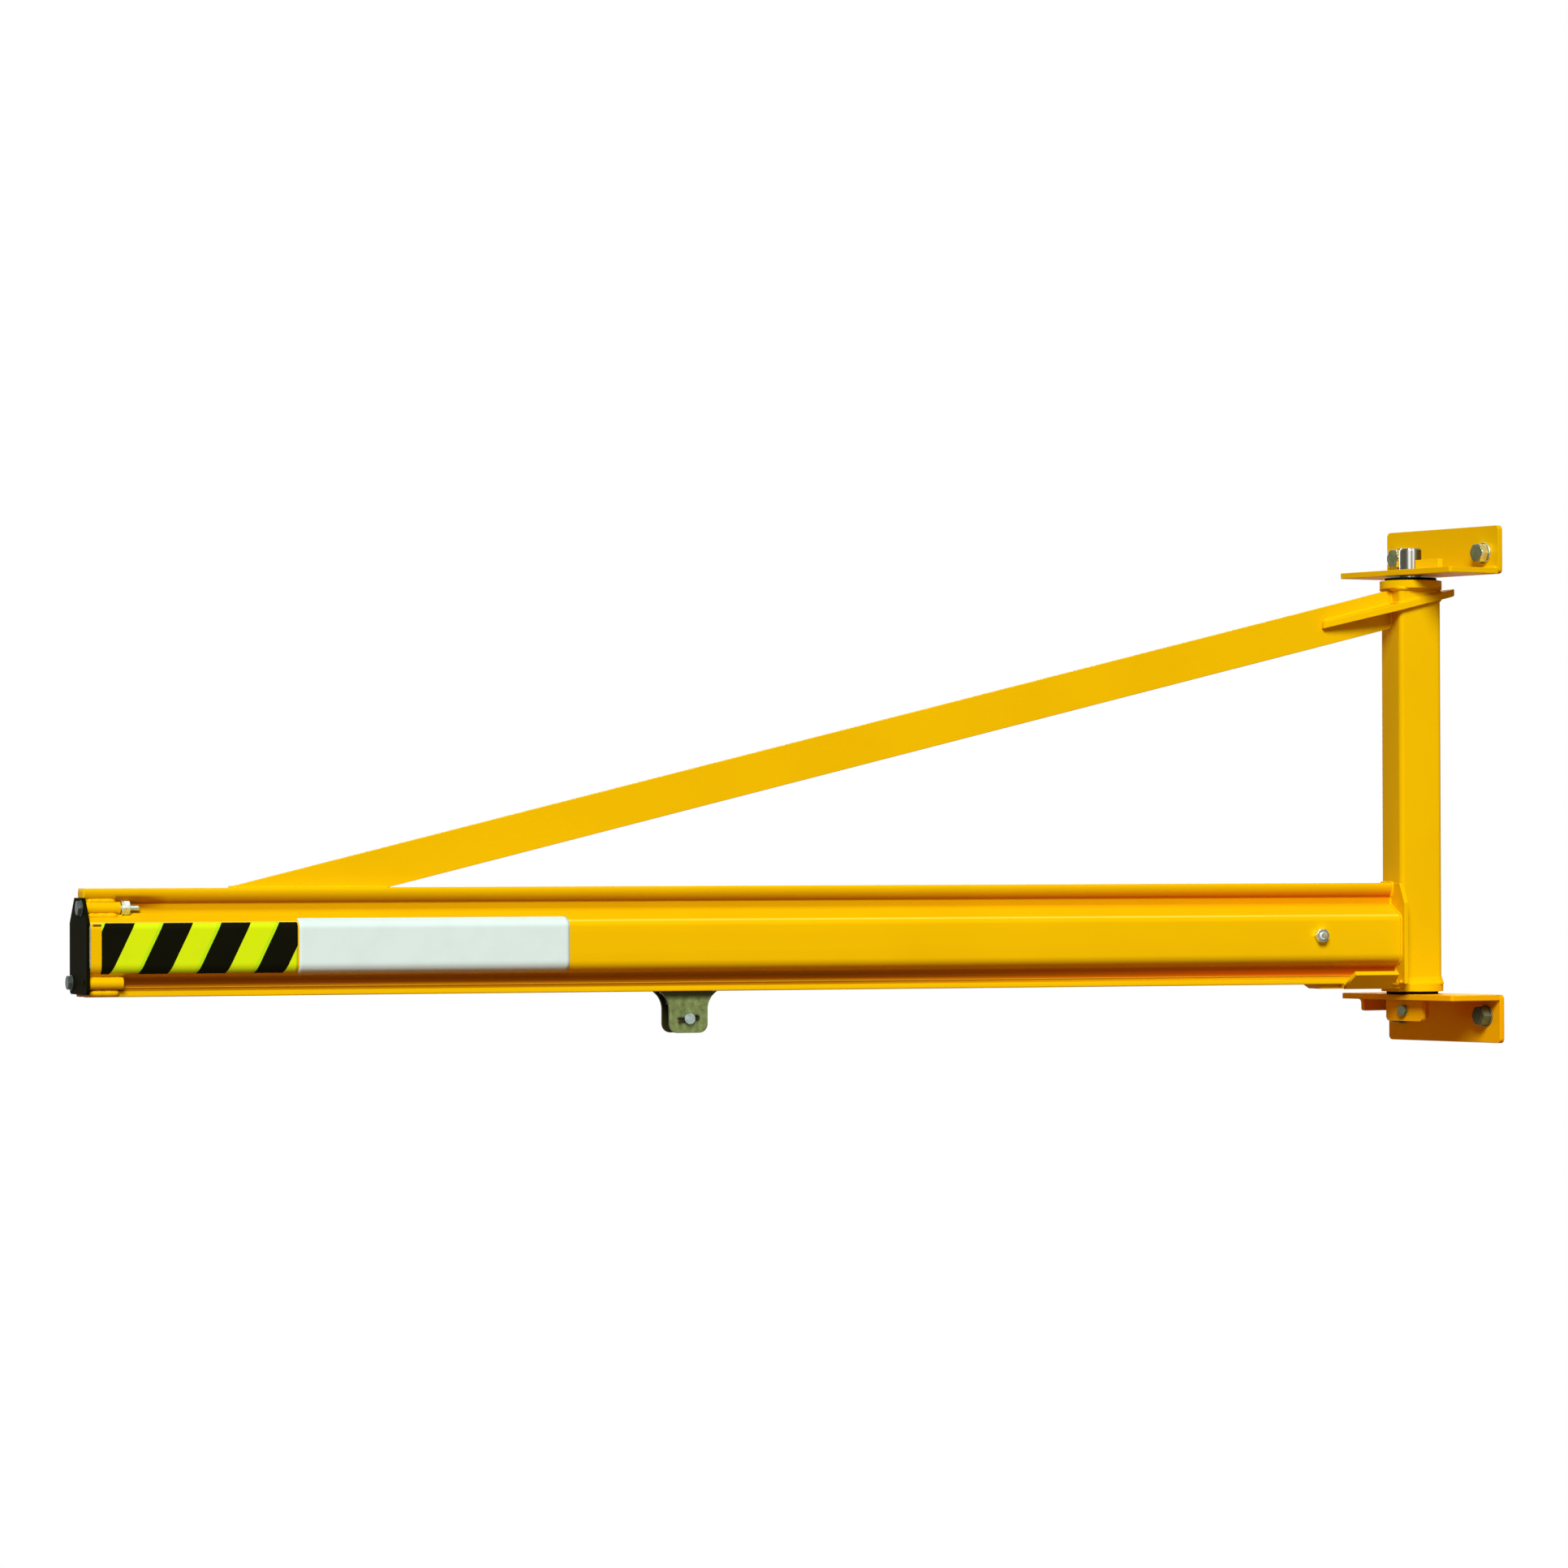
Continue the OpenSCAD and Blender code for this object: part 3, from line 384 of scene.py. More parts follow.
def foot_fillet():
    """The broad weld at the post's foot: the post's outline, grown by more the lower it lies, and
    waved by 0.35 mm sin(2 pi way / ripple) + 0.5 mm sin(2 pi way / swell), where way is the
    distance round the outline. The waves fade out towards the top."""
    outline = rounded_square(post_half, post_round, 28)
    way = np.cumsum(np.linalg.norm(outline - np.roll(outline, 1, axis=0), axis=1))
    level = np.array([0.0140, 0.0105, 0.0070, 0.0035, 0.0008, -0.0010])
    grow = np.array([-0.0004, 0.0004, 0.0012, 0.0022, 0.0031, 0.0032])
    share = np.array([0, 0.6, 1, 1, 0.8, 0.6])
    ripple, swell = 0.0085, 0.047
    wave = 0.00035 * np.sin(2 * np.pi * way / ripple) + 0.0005 * np.sin(2 * np.pi * way / swell)
    size = 1 + (grow[:, None] + wave * share[:, None]) / post_half
    return skin(arm(size * outline[:, 0], size * outline[:, 1], level[:, None]))


long_bead, short_bead, thin_bead = 0.0042, 0.003, 0.0028
top_ring = arm(post_outline[:, 0], post_outline[:, 1], post_top)
build("post_welds", [foot_fillet(), bead(top_ring, long_bead, above, closed=True)],
      yellow, "arm")

inset = 0.002
wall_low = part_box("lower_bearing_plate")[0].z
wall_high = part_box("upper_bearing_plate")[1].z
plate_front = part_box("upper_wall_plate")[0].y
plate_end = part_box("upper_wall_plate")[1].x - 2 * inset
tab_low, tab_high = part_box("upper_keeper_tab")
tab_start = 0.022
lug_low, lug_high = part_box("lower_front_lug")
rear_low, rear_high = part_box("lower_rear_lug")
rib_low, rib_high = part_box("lower_rib")


def seam(start, end, radius, across=above):
    """Straight bead from one point to another."""
    return bead([start, end], radius, across)


bracket_seams = [seam((-plate_end, plate_front, level), (plate_end, plate_front, level), long_bead)
                 for level in (wall_low, wall_high)]
bracket_seams += [seam((tab_start, y, wall_high), (tab_high.x - inset, y, wall_high), short_bead)
                  for y in (tab_low.y, tab_high.y)]
bracket_seams += [
    seam((lug_low.x, lug_high.y, wall_low), (lug_high.x, lug_high.y, wall_low), short_bead),
    seam((lug_low.x + inset, lug_low.y, wall_low), (lug_high.x - inset, lug_low.y, wall_low), thin_bead),
    seam((rear_low.x, rear_high.y, wall_low), (rear_high.x, rear_high.y, wall_low), short_bead)]
bracket_seams += [seam((x, rib_low.y + 2 * inset, wall_low), (x, plate_front, wall_low), short_bead)
                  for x in (rib_low.x, rib_high.x)]
bracket_seams.append(seam((rib_high.x, plate_front, rib_low.z + inset),
                          (rib_high.x, plate_front, wall_low), short_bead, across=(0, 1, 0)))
build("bracket_welds", bracket_seams, yellow, "wall_brackets")


# ---------------------------------------------------------------------------
# Welds on the arm: the track is a rolled and bent steel section, welded to its
# end plate, saddle, sleeves and tie bar. The beads follow its outer line, given
# here as half width and height from the slot's edge to the middle of the head.

def rounded_bend(corner, way_in, way_out, r, count=9):
    """Arc of radius r that leaves one straight line for another, where the two meet at corner;
    both directions are in degrees."""
    turn = math.radians(way_out - way_in)
    side = 1 if turn > 0 else -1
    first = math.radians(way_in)
    back = r * math.tan(abs(turn) / 2)
    centre = (np.asarray(corner) - back * np.array([math.cos(first), math.sin(first)])
              + side * r * np.array([-math.sin(first), math.cos(first)]))
    angles = np.linspace(first, first + turn, count) - side * math.pi / 2
    return centre + r * np.stack([np.cos(angles), np.sin(angles)], axis=1)


def heading(a, b):
    """Direction of the line from a to b, in degrees."""
    return math.degrees(math.atan2(b[1] - a[1], b[0] - a[0]))


web_corner, flank_corner = (0.034, 0.029), (0.058, 0.043)
shoulder_corner, neck_corner = (0.058, 0.117), (0.014, 0.138)
flank_way = heading(web_corner, flank_corner)
shoulder_way = heading(shoulder_corner, neck_corner)
head_half, head_round, head_centre, track_height = 0.023, 0.024, 0.168, 0.175
bulge = np.radians(np.linspace(-38.7, 0, 7))
track_side = np.concatenate([
    [(0.012, 0.0), (0.0345, 0.0), (0.036, 0.002), (0.036, 0.010), (0.0325, 0.011), (0.0325, 0.013),
     (0.035, 0.015), (0.034, 0.019)],
    rounded_bend(web_corner, 90, flank_way, 0.005),
    rounded_bend(flank_corner, flank_way, 90, 0.018),
    rounded_bend(shoulder_corner, 90, shoulder_way, 0.013),
    rounded_bend(neck_corner, shoulder_way, 90, 0.004),
    [(0.014, 0.150)],
    np.stack([head_half + head_round * (np.cos(bulge) - 1),
              head_centre + head_round * np.sin(bulge)], axis=1),
    [(head_half, 0.172), (0.020, track_height), (0.0, track_height)]])

root_u, sleeve_end = 0.048, 2.371
tie_slope, tie_width, tie_side = 0.244, 0.065, 0.0065
tie_top = post_top - 0.002 + tie_slope * post_half
tie_height = tie_width * math.sqrt(1 + tie_slope ** 2)
tie_foot = (tie_top - tie_height - track_height) / tie_slope
tie_toe = (tie_top - track_height - 0.002) / tie_slope
collar_middle = tie_top - tie_height / 2 + 0.003
collar_reach, collar_half, collar_bead = np.array([0.043, 0.170]), 0.0068, 0.0036
head_top = track_height + 0.0002
level_beads = (
    # from and to along the arm, off its middle plane, height, radius
    (root_u + 0.002, 0.148, 0.0372, 0.0, 0.0032),       # lips to the saddle
    (tie_foot, tie_toe - 0.001, tie_side, head_top, 0.0038),    # head to the tie bar
    (2.321, sleeve_end, 0.0310, 0.1310, 0.0050),        # shoulder to the upper sleeve
    (2.324, sleeve_end, 0.0245, 0.1545, 0.0045),        # neck to the upper sleeve
    (2.318, sleeve_end, 0.0390, 0.0335, 0.0034),        # flank to the lower sleeve
    (2.321, sleeve_end, 0.0390, 0.0070, 0.0068),        # lip to the lower sleeve
    (0.0490, 0.0560, 0.0640, 0.0035, 0.0050))           # end plate to the saddle's wing
tie_heel = np.array([0.623, 0.684])
wing_u, wing_v = np.array([0.046, 0.057, 0.064]), np.array([0.042, 0.047, 0.050])
wing_rise = np.array([0.0, 0.001, 0.003])
seams = []
for side in (-1, 1):
    seams += [bead(arm(np.array([start, end]), side * off, height), radius, above)
              for start, end, off, height, radius in level_beads]
    seams += [bead(arm(collar_reach, side * tie_side, collar_middle + lift - tie_slope * collar_reach),
                   collar_bead, above) for lift in (collar_half, -collar_half)]
    seams += [
        bead(arm(root_u, side * track_side[1:, 0], track_side[1:, 1]), 0.0032, out),
        bead(arm(post_half + 0.0005, side * tie_side, tie_heel), 0.004, out),
        bead(arm(wing_u, side * wing_v, wing_rise), long_bead, above)]
seams += [bead(arm(post_outline[:, 0], post_outline[:, 1],
                   collar_middle + lift - tie_slope * post_outline[:, 0]),
               collar_bead, above, closed=True) for lift in (0.0062, -0.0062)]
seams.append(bead(arm(tie_toe, np.array([-0.006, 0.006]), head_top), collar_bead, above))

end_plate = np.array([corner.co for corner in nodes["root_end_plate"].data.vertices]) - hinge
plate_side, plate_top = float((end_plate @ near).max()), float(end_plate[:, 2].max()) - track_low


def hollow_weld(side):
    """Hollow fillet from the post's side to the end plate's back: its width over the post falls
    with (1 - dip)^1.7 while it runs back by 14 mm times dip, and it is closed inside the post."""
    dip = np.linspace(0, 1, 7)
    back = post_half - 0.014 * dip
    wide = side * (post_half - 0.001 + (plate_side - 0.003 - post_half) * (1 - dip) ** 1.7)
    ring_u, ring_v = np.append(back, post_half - 0.001), np.append(wide, side * (post_half - 0.004))
    levels = np.array([0.004, plate_top - 0.038])
    return skin(arm(ring_u[None, :], ring_v[None, :], levels[:, None]))


seams += [hollow_weld(-1), hollow_weld(1)]
build("arm_welds", seams, yellow, "arm")


# ---------------------------------------------------------------------------
# Track end: the hollow head is shut by a welded plug in the brighter coat, and a thin pale strip along the
# section's end edge is a painted highlight.

tip_u = 2.3730
half_head = track_side[track_side[:, 1] > 0.150] * (0.99, 1.0) + (0.0, -0.0004)
head_outline = np.concatenate([half_head, half_head[::-1] * (-1, 1)])
head_middle = np.array([0.0, 0.163])
crown = ((-0.006, 1.0), (-0.0005, 1.0), (0.0012, 0.90), (0.0022, 0.70), (0.0026, 0.40))
# The plug is the head's outline, drawn in to a share of its size at each rise over the sawn end.
plug = np.stack([arm(tip_u + rise, *(head_middle + share * (head_outline - head_middle)).T)
                 for rise, share in crown])
# The plug wears the brighter coat, painted light on the head's end face.
build("head_plug", [skin(plug)], lit_yellow, "arm", sharp=60.0)


def edge_highlight_steel():
    """Pale steel for the painted highlight along the track's end edge, paler, warmer and rougher in patches.
    """
    steel = Finish("edge_highlight_steel")
    at = steel.place()
    mottle = steel.noise(at, 120.0, 4.0, 0.6)
    return steel.surface(
        Base_Color=steel.blend(mottle.above(0.4, 0.3), (0.30, 0.31, 0.20), (0.50, 0.42, 0.36)),
        Metallic=0.3,
        Roughness=0.45 + 0.2 * mottle,
        Normal=steel.bump(mottle, 0.0002, 0.5))


# Painted highlight: a thin pale strip on the track's end edge.
rim = track_side[(track_side[:, 1] > 0.030) & (track_side[:, 1] < 0.149)]
build("highlight_edge", [bead(arm(tip_u - 0.0004, side * rim[:, 0], rim[:, 1]), 0.0013, out, wave=0.05)
                    for side in (-1, 1)], edge_highlight_steel(), "arm")


# ---------------------------------------------------------------------------
# Bolts: hexagon screws and nuts in zinc plate with its faint olive bloom, over
# flat washers. Heads are chamfered on top, threads show past the nuts.

def zinc_plate(name, light, dark, rough, metallic=0.85, gloss=0.5, grime_and_shade=None):
    """The plate goes from `dark` to `light` with its bloom, under dark stains and an optional mask of near
    black, which on the trolley is painted shade.
    """
    plate = Finish(name)
    at = plate.place()
    bloom = plate.noise(at, 90.0, 4.0, 0.6)
    grain = plate.noise(at, 900.0, 2.0)
    stain = plate.noise(at, 220.0, 4.0, 0.7).above(0.60, 0.08)
    tone = plate.blend(bloom.above(0.35, 0.3), dark, light)
    tone = plate.blend(stain * 0.35, tone, (0.10, 0.10, 0.06))
    if grime_and_shade:
        tone = plate.blend(grime_and_shade(plate, at), tone, (0.026, 0.024, 0.004))
    return plate.surface(
        Base_Color=tone,
        Metallic=metallic,
        Specular_IOR_Level=gloss,
        Roughness=rough + 0.18 * bloom,
        Normal=plate.bump(grain + 0.5 * bloom, 0.00012, 0.5))


zinc = zinc_plate("zinc_plate", (0.80, 0.87, 0.81), (0.56, 0.64, 0.50), 0.20)
dull_zinc = zinc_plate("dull_zinc", (0.17, 0.21, 0.10), (0.10, 0.125, 0.055), 0.36, 0.35, 0.3)
# A near black copy of the zinc: painted shade for the faces of the bolts under the lower bearing plate.
shaded_zinc = zinc_plate("shaded_zinc", (0.085, 0.092, 0.032), (0.045, 0.048, 0.016), 0.42, 0.3, 0.15)
dark_zinc = zinc_plate("dark_zinc", (0.060, 0.085, 0.075), (0.035, 0.050, 0.045), 0.34, 0.5)
worn_zinc = zinc_plate("worn_zinc", (0.36, 0.38, 0.33), (0.15, 0.16, 0.11), 0.34, 0.5, 0.3)
screw_turn = np.linspace(0, 2 * np.pi, 72, endpoint=False)


def hexagon(flats):
    """Radius of a hexagon of that width over flats, with a corner at angle 0."""
    return flats / 2 / np.cos(screw_turn % (np.pi / 3) - np.pi / 6)


def hexagon_rows(top, height, flats, both=False):
    """Rows down a head or nut: the hexagon, cut by a 30 degree cone under each chamfered face."""
    depth = np.linspace(0, 0.12 * flats, 6)
    cone = 0.47 * flats + depth / math.tan(math.radians(30))
    cut = np.minimum(hexagon(flats)[None, :], cone[:, None])
    along = np.concatenate([top - depth, [top - height]])
    radius = np.concatenate([cut, hexagon(flats)[None, :]])
    if both:
        along = np.concatenate([top - depth, top - height + depth[::-1]])
        radius = np.concatenate([cut, cut[::-1]])
    return along, radius


def round_rows(*stations):
    """Rows of plain circles, one for each (distance along, radius)."""
    along, radius = np.array(stations).T
    return along, np.repeat(radius[:, None], len(screw_turn), axis=1)


def thread_rows(top, end, d, pitch):
    """Rows of a screw thread. The radius is d/2 less 0.61 pitch (1 - |2 phase - 1|), where phase
    is the fraction of along / pitch - angle / full turn, and a small chamfer cuts its end."""
    along = np.arange(top, end, -pitch / 8)
    phase = (along[:, None] / pitch - screw_turn[None, :] / (2 * np.pi)) % 1.0
    radius = d / 2 - 0.61 * pitch * (1 - np.abs(2 * phase - 1))
    chamfer = d / 2 - 1.1 * pitch + (along - end)
    return along, np.minimum(radius, chamfer[:, None])


def turned(origin, axis, corner, rows):
    """Closed skin of rows (distance along, radius by angle) about an axis through origin: each
    point is origin + along * axis + radius * (cos angle * corner + sin angle * other)."""
    along = np.concatenate([a for a, _ in rows])
    radius = np.concatenate([r for _, r in rows])
    axis, corner = np.asarray(axis, float), np.asarray(corner, float)
    other = np.cross(axis, corner)
    ring = np.cos(screw_turn)[:, None] * corner + np.sin(screw_turn)[:, None] * other
    return skin(np.asarray(origin, float) + along[:, None, None] * axis + radius[:, :, None] * ring[None])


def screw(origin, axis, corner, d, grip, tail, washer=None, head=None, flats=None, nut=False,
          nut_washer=None):
    """Hexagon screw with its head's seat at origin and its head towards +axis. It grips that
    much, and its thread shows `tail` past the grip or the nut. Washers are (radius, thickness)."""
    flats, head = flats or 1.5 * d + 0.001, head or 0.63 * d
    seat = washer[1] if washer else 0.0
    rows = [hexagon_rows(seat + head, head, flats)]
    if washer:
        r, thick = washer
        rows.append(round_rows((thick, r - 0.0006), (thick - 0.0006, r), (0.0004, r), (0, r - 0.0004)))
    rows.append(round_rows((0, d / 2), (-grip, d / 2)))
    if nut:
        start = -grip
        if nut_washer:
            r, thick = nut_washer
            rows.append(round_rows((start, r - 0.0004), (start - 0.0005, r),
                                   (start - thick + 0.0005, r), (start - thick, r - 0.0004)))
            start -= thick
        nut_height = 0.53 * flats
        rows.append(hexagon_rows(start, nut_height, flats, both=True))
        start -= nut_height
        rows.append(thread_rows(start, start - tail, d, 0.15 * d))
    else:
        rows.append(thread_rows(-grip, -grip - tail, d, 0.125 * d))
    return turned(origin, axis, corner, rows)


def bolt(name, body, axis, skins, dull=dull_zinc, head_from=None, bright=zinc):
    """The screw in zinc plate. The faces square to its axis are dull.
    Where head_from is given, all that lies further along the axis is dull instead."""
    piece = build(name + "_screw", [skins], bright, body, sharp=28.0)
    faces = piece.data.polygons
    key, edge = ("normal", 0.80) if head_from is None else ("center", head_from)
    found = np.empty(3 * len(faces))
    faces.foreach_get(key, found)
    share = found.reshape(-1, 3) @ np.asarray(axis, float)
    dulled = (np.abs(share) if head_from is None else share) > edge
    piece.data.materials.append(dull)
    faces.foreach_set("material_index", dulled.astype(np.int32))
    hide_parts(name)


into_room = (0, -1, 0)
for name in ("lower_wall_bolt_left", "lower_wall_bolt_right",
             "upper_wall_bolt_left", "upper_wall_bolt_right"):
    low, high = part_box(name)
    seat = ((low.x + high.x) / 2, plate_front, (low.z + high.z) / 2)
    # Painted shade: the lower bolts, under the lower bearing plate, take darker copies of the zinc on their
    # faces and sides.
    dull, bright = (shaded_zinc, dull_zinc) if name.startswith("lower") else (dull_zinc, zinc)
    bolt(name, "wall_brackets", into_room,
         screw(seat, into_room, (1, 0, 0), d=0.020, grip=-plate_front, tail=high.y,
               washer=(0.0185, 0.003), head=0.016),
         dull=dull, bright=bright)

low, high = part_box("lug_bolt")
seat = ((low.x + high.x) / 2, lug_low.y, (low.z + high.z) / 2)
bolt("lug_bolt", "wall_brackets", into_room,
     screw(seat, into_room, (1, 0, 0), d=0.012, grip=rear_high.y - lug_low.y, tail=0.004, nut=True),
     bright=dull_zinc)

track_half = 0.058
bolt("root_stop_bolt", "arm", near,
     screw(arm(0.203, -track_half, 0.085), -near, out, d=0.014, grip=2 * track_half, tail=0.004, nut=True),
     dull=worn_zinc)

cap_face = 2.379
for name, off, height, grip, tail in (("upper_cap_bolt", 0.0235, 0.1435, 0.0645, 0.0160),
                                      ("lower_cap_bolt", -0.0435, 0.0225, 0.063, 0.013)):
    bolt(name, "arm", out,
         screw(arm(cap_face, off, height), out, near, d=0.010, grip=grip, tail=tail,
               washer=(0.0126, 0.002), flats=0.0222, nut=True, nut_washer=(0.0125, 0.0025)),
         dull=dark_zinc, head_from=float(hinge @ out) + tip_u)


# ---------------------------------------------------------------------------
# Pivot pins, axles and wheels: turned bright steel, lightly oiled, with painted bands of reflection along
# the pivot pins. The lathe's fine rings run round them.

def lathe_rings(steel, at):
    """Noise squeezed along the upright, so that it lies in rings round a pin."""
    squeezed = steel.node("ShaderNodeMapping", {}, {"Vector": at, "Scale": (1.0, 1.0, 14.0)})
    return steel.noise(squeezed, 60.0, 3.0)


def bright_steel():
    """Machined steel, a little paler and rougher where it is smeared."""
    steel = Finish("bright_steel")
    at = steel.place()
    smear = steel.noise(at, 30.0, 3.0)
    tone = steel.blend(smear.above(0.4, 0.2), (0.42, 0.43, 0.42), (0.58, 0.58, 0.56))
    return steel.surface(
        Base_Color=tone,
        Metallic=1.0,
        Roughness=0.16 + 0.16 * smear,
        Normal=steel.bump(lathe_rings(steel, at), 0.0001, 0.4))


hinge_y = float(hinge[1])


def pin_reflection_steel():
    """Long bands of painted reflection, dark and bright, lie along the pivot pins, by the angle round their
    axis. The same bands come three times in a full turn."""
    steel = Finish("pin_reflection_steel")
    at = steel.place()
    x, y, _ = steel.parts(at)
    angle = steel.node("ShaderNodeMath", {"operation": "ARCTAN2"}, {0: x, 1: hinge_y - y})
    third = steel.node("ShaderNodeMath", {"operation": "FRACT"}, {0: (angle + 0.175) / 2.094 + 3.0})
    # Painted reflection: dark and bright bands by the angle round the pin.
    band = steel.node("ShaderNodeValToRGB", {"stops": [
        (0.0, (0.045, 0.045, 0.03)), (0.31, (0.06, 0.06, 0.04)), (0.39, (0.30, 0.31, 0.24)),
        (0.43, (0.88, 0.90, 0.88)), (0.50, (0.80, 0.82, 0.80)), (0.54, (0.22, 0.22, 0.18)),
        (0.58, (0.35, 0.34, 0.30)), (0.62, (0.92, 0.93, 0.92)), (0.66, (0.80, 0.80, 0.78)),
        (0.70, (0.20, 0.17, 0.10)), (0.93, (0.09, 0.08, 0.05)), (1.0, (0.045, 0.045, 0.03))]},
        {0: third})
    smear = steel.noise(at, 70.0, 4.0, 0.6)
    return steel.surface(
        Base_Color=steel.blend(0.25 * smear, band, (0.25, 0.25, 0.20)),
        Metallic=0.9,
        Roughness=0.14 + 0.18 * smear,
        Normal=steel.bump(lathe_rings(steel, at), 0.0001, 0.4))


turned_round = 0.0006
banded_steel, clean_steel = pin_reflection_steel(), bright_steel()
for name in ("lower_pivot_pin", "upper_pivot_pin"):
    eased(name, turned_round, banded_steel)
for name in ("front_axle", "rear_axle", "front_wheel_near",
             "front_wheel_far", "rear_wheel_near", "rear_wheel_far"):
    eased(name, turned_round, clean_steel)


# ---------------------------------------------------------------------------
# Thrust washers and end cap: black moulded plastic with a fine grain. The cap
# is a flat moulding held by two screws in the welded sleeves.

def black_plastic():
    """Moulded plastic in two near blacks that change in clouds."""
    plastic = Finish("black_plastic")
    at = plastic.place()
    cloud = plastic.noise(at, 14.0, 3.0)
    grain = plastic.noise(at, 1400.0, 1.0)
    tone = plastic.blend(cloud, (0.0045, 0.0050, 0.0010), (0.0075, 0.0080, 0.0018))
    return plastic.surface(
        Base_Color=tone,
        Roughness=0.50 + 0.16 * cloud,
        Specular_IOR_Level=0.005,
        Normal=plastic.bump(grain, 0.0001, 0.5))


plastic, moulded_round = black_plastic(), 0.0009
for name in ("lower_thrust_washer", "upper_thrust_washer", "end_cap"):
    eased(name, moulded_round, plastic)


# ---------------------------------------------------------------------------
# Stops inside the track: blocks cut from black rubber, dull and slightly chalky,
# which the trolley runs against at the root and at the tip.

def cut_rubber():
    """Black rubber, greyer and rougher where the chalk shows."""
    rubber = Finish("cut_rubber")
    at = rubber.place()
    chalk = rubber.noise(at, 45.0, 4.0, 0.6)
    grain = rubber.noise(at, 800.0, 2.0)
    tone = rubber.blend(chalk.above(0.4, 0.3), (0.012, 0.012, 0.012), (0.03, 0.03, 0.028))
    return rubber.surface(
        Base_Color=tone,
        Roughness=0.75 + 0.15 * chalk,
        Specular_IOR_Level=0.25,
        Normal=rubber.bump(grain, 0.0002, 0.6))


rubber, cut_round = cut_rubber(), 0.0015
for name in ("root_buffer", "tip_buffer"):
    eased(name, cut_round, rubber)


# ---------------------------------------------------------------------------
# Trolley: laser-cut plates in thick zinc plate, greener and more mottled than
# the bolts, with a bright load pin held by a split pin at each end.

clevis_points = np.array([corner.co for corner in nodes["clevis_plate_near"].data.vertices]) - hinge


def trolley_painted_shade(plate, at):
    """Painted shade between the two plates and at their tops: 1 where the distance from the track's middle
    plane is under that of the plates' outer faces, or just under the track."""
    outer = float((clevis_points @ near).max())
    off = plate.node("ShaderNodeMath", {"operation": "ABSOLUTE"},
                     {0: plate.along(at, near) - float(hinge @ near)})
    outside = off.above(outer - 0.0008, 0.0004)
    height = plate.along(at, above) - track_low
    return 1.0 - outside * (1.0 - 0.85 * height.above(-0.016, 0.009))


# The trolley's plates carry painted shade between them and at their tops under the track.
trolley_zinc = zinc_plate("trolley_zinc", (0.22, 0.29, 0.100), (0.12, 0.16, 0.052), 0.42, 0.45, 0.12,
                          trolley_painted_shade)
pin_zinc = zinc_plate("pin_zinc", (0.42, 0.52, 0.49), (0.24, 0.33, 0.30), 0.28, 0.6)
wire_zinc = zinc_plate("wire_zinc", (0.026, 0.026, 0.014), (0.014, 0.014, 0.008), 0.4, 0.2, 0.1)
for name in ("trolley_carriage", "clevis_plate_near", "clevis_plate_far"):
    eased(name, thin_round, trolley_zinc)
eased("load_pin", plate_round, pin_zinc)

clevis_reach = clevis_points @ out
trolley_u = float(clevis_reach.min() + clevis_reach.max()) / 2


def flare(side):
    """The hollow flare runs on from a clevis plate's top edge to just under the track. At each level
    its half width is waist + r - sqrt(r^2 - h^2), where h is the height over the flare's start."""
    waist, r, start = 0.0341, 0.036227, -0.031
    inner, outer = 0.01495, 0.02105
    level = np.linspace(-0.0075, -0.0005, 9)
    wide = waist + r - np.sqrt(r ** 2 - (level - start) ** 2)
    corner_u, corner_v = np.array([1, 1, -1, -1]), np.array([inner, outer, outer, inner])
    return skin(arm(trolley_u + wide[:, None] * corner_u, side * corner_v, level[:, None]))


build("clevis_flares", [flare(-1), flare(1)], trolley_zinc, "trolley")


def wire(path, radius, across):
    """Round wire: a circle square to the path at each of its points, and smaller at both ends.
    `across` is a direction that the path never takes."""
    path = np.asarray(path, float)
    ahead = np.gradient(path, axis=0)
    ahead /= np.linalg.norm(ahead, axis=1, keepdims=True)
    side = np.cross(ahead, across)
    side /= np.linalg.norm(side, axis=1, keepdims=True)
    up = np.cross(side, ahead)
    size = np.full(len(path), radius)
    size[[0, -1]] *= 0.35
    angle = np.linspace(0, 2 * np.pi, 12, endpoint=False)
    ring = np.cos(angle)[None, :, None] * side[:, None, :] + np.sin(angle)[None, :, None] * up[:, None, :]
    return skin(path[:, None, :] + size[:, None, None] * ring)


def split_pin(centre, along, leg_side):
    """Split pin with an eye on one side and two legs spread on the other. The path goes in along
    one leg, which lies 1.2 mm plus 2.4 mm (1 - leg)^2.5 off the middle, and round the eye's
    circle, and out along the other leg, its mirror image."""
    eye_r, eye_middle = 0.0032, 0.0135
    eye = np.linspace(np.pi * 0.82, -np.pi * 0.82, 15)
    leg = np.linspace(0, 1, 14)
    first = np.stack([-0.020 + 0.029 * leg, 0.0012 + 0.0024 * (1 - leg) ** 2.5], axis=1)
    loop = np.stack([eye_middle + eye_r * np.cos(eye), eye_r * np.sin(eye)], axis=1)
    flat = np.concatenate([first, loop, first[::-1] * (1, -1)])
    return centre + flat[:, :1] * along + flat[:, 1:] * leg_side


pin_low, pin_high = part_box("load_pin")
pin_middle = np.array((pin_low + pin_high) / 2)
tilt = math.radians(8)
wire_way = -out * math.cos(tilt) + above * math.sin(tilt)
wire_side = out * math.sin(tilt) + above * math.cos(tilt)
wire_off, wire_r = 0.0245, 0.0018
build("split_pins", [wire(split_pin(pin_middle + side * wire_off * near, wire_way, wire_side), wire_r, near)
                     for side in (-1, 1)], wire_zinc, "trolley", sharp=60.0)


# ---------------------------------------------------------------------------
# Tape on the track's near side: a printed vinyl hazard tape by the tip and a
# white blank next to it, both pressed round the lower bend.

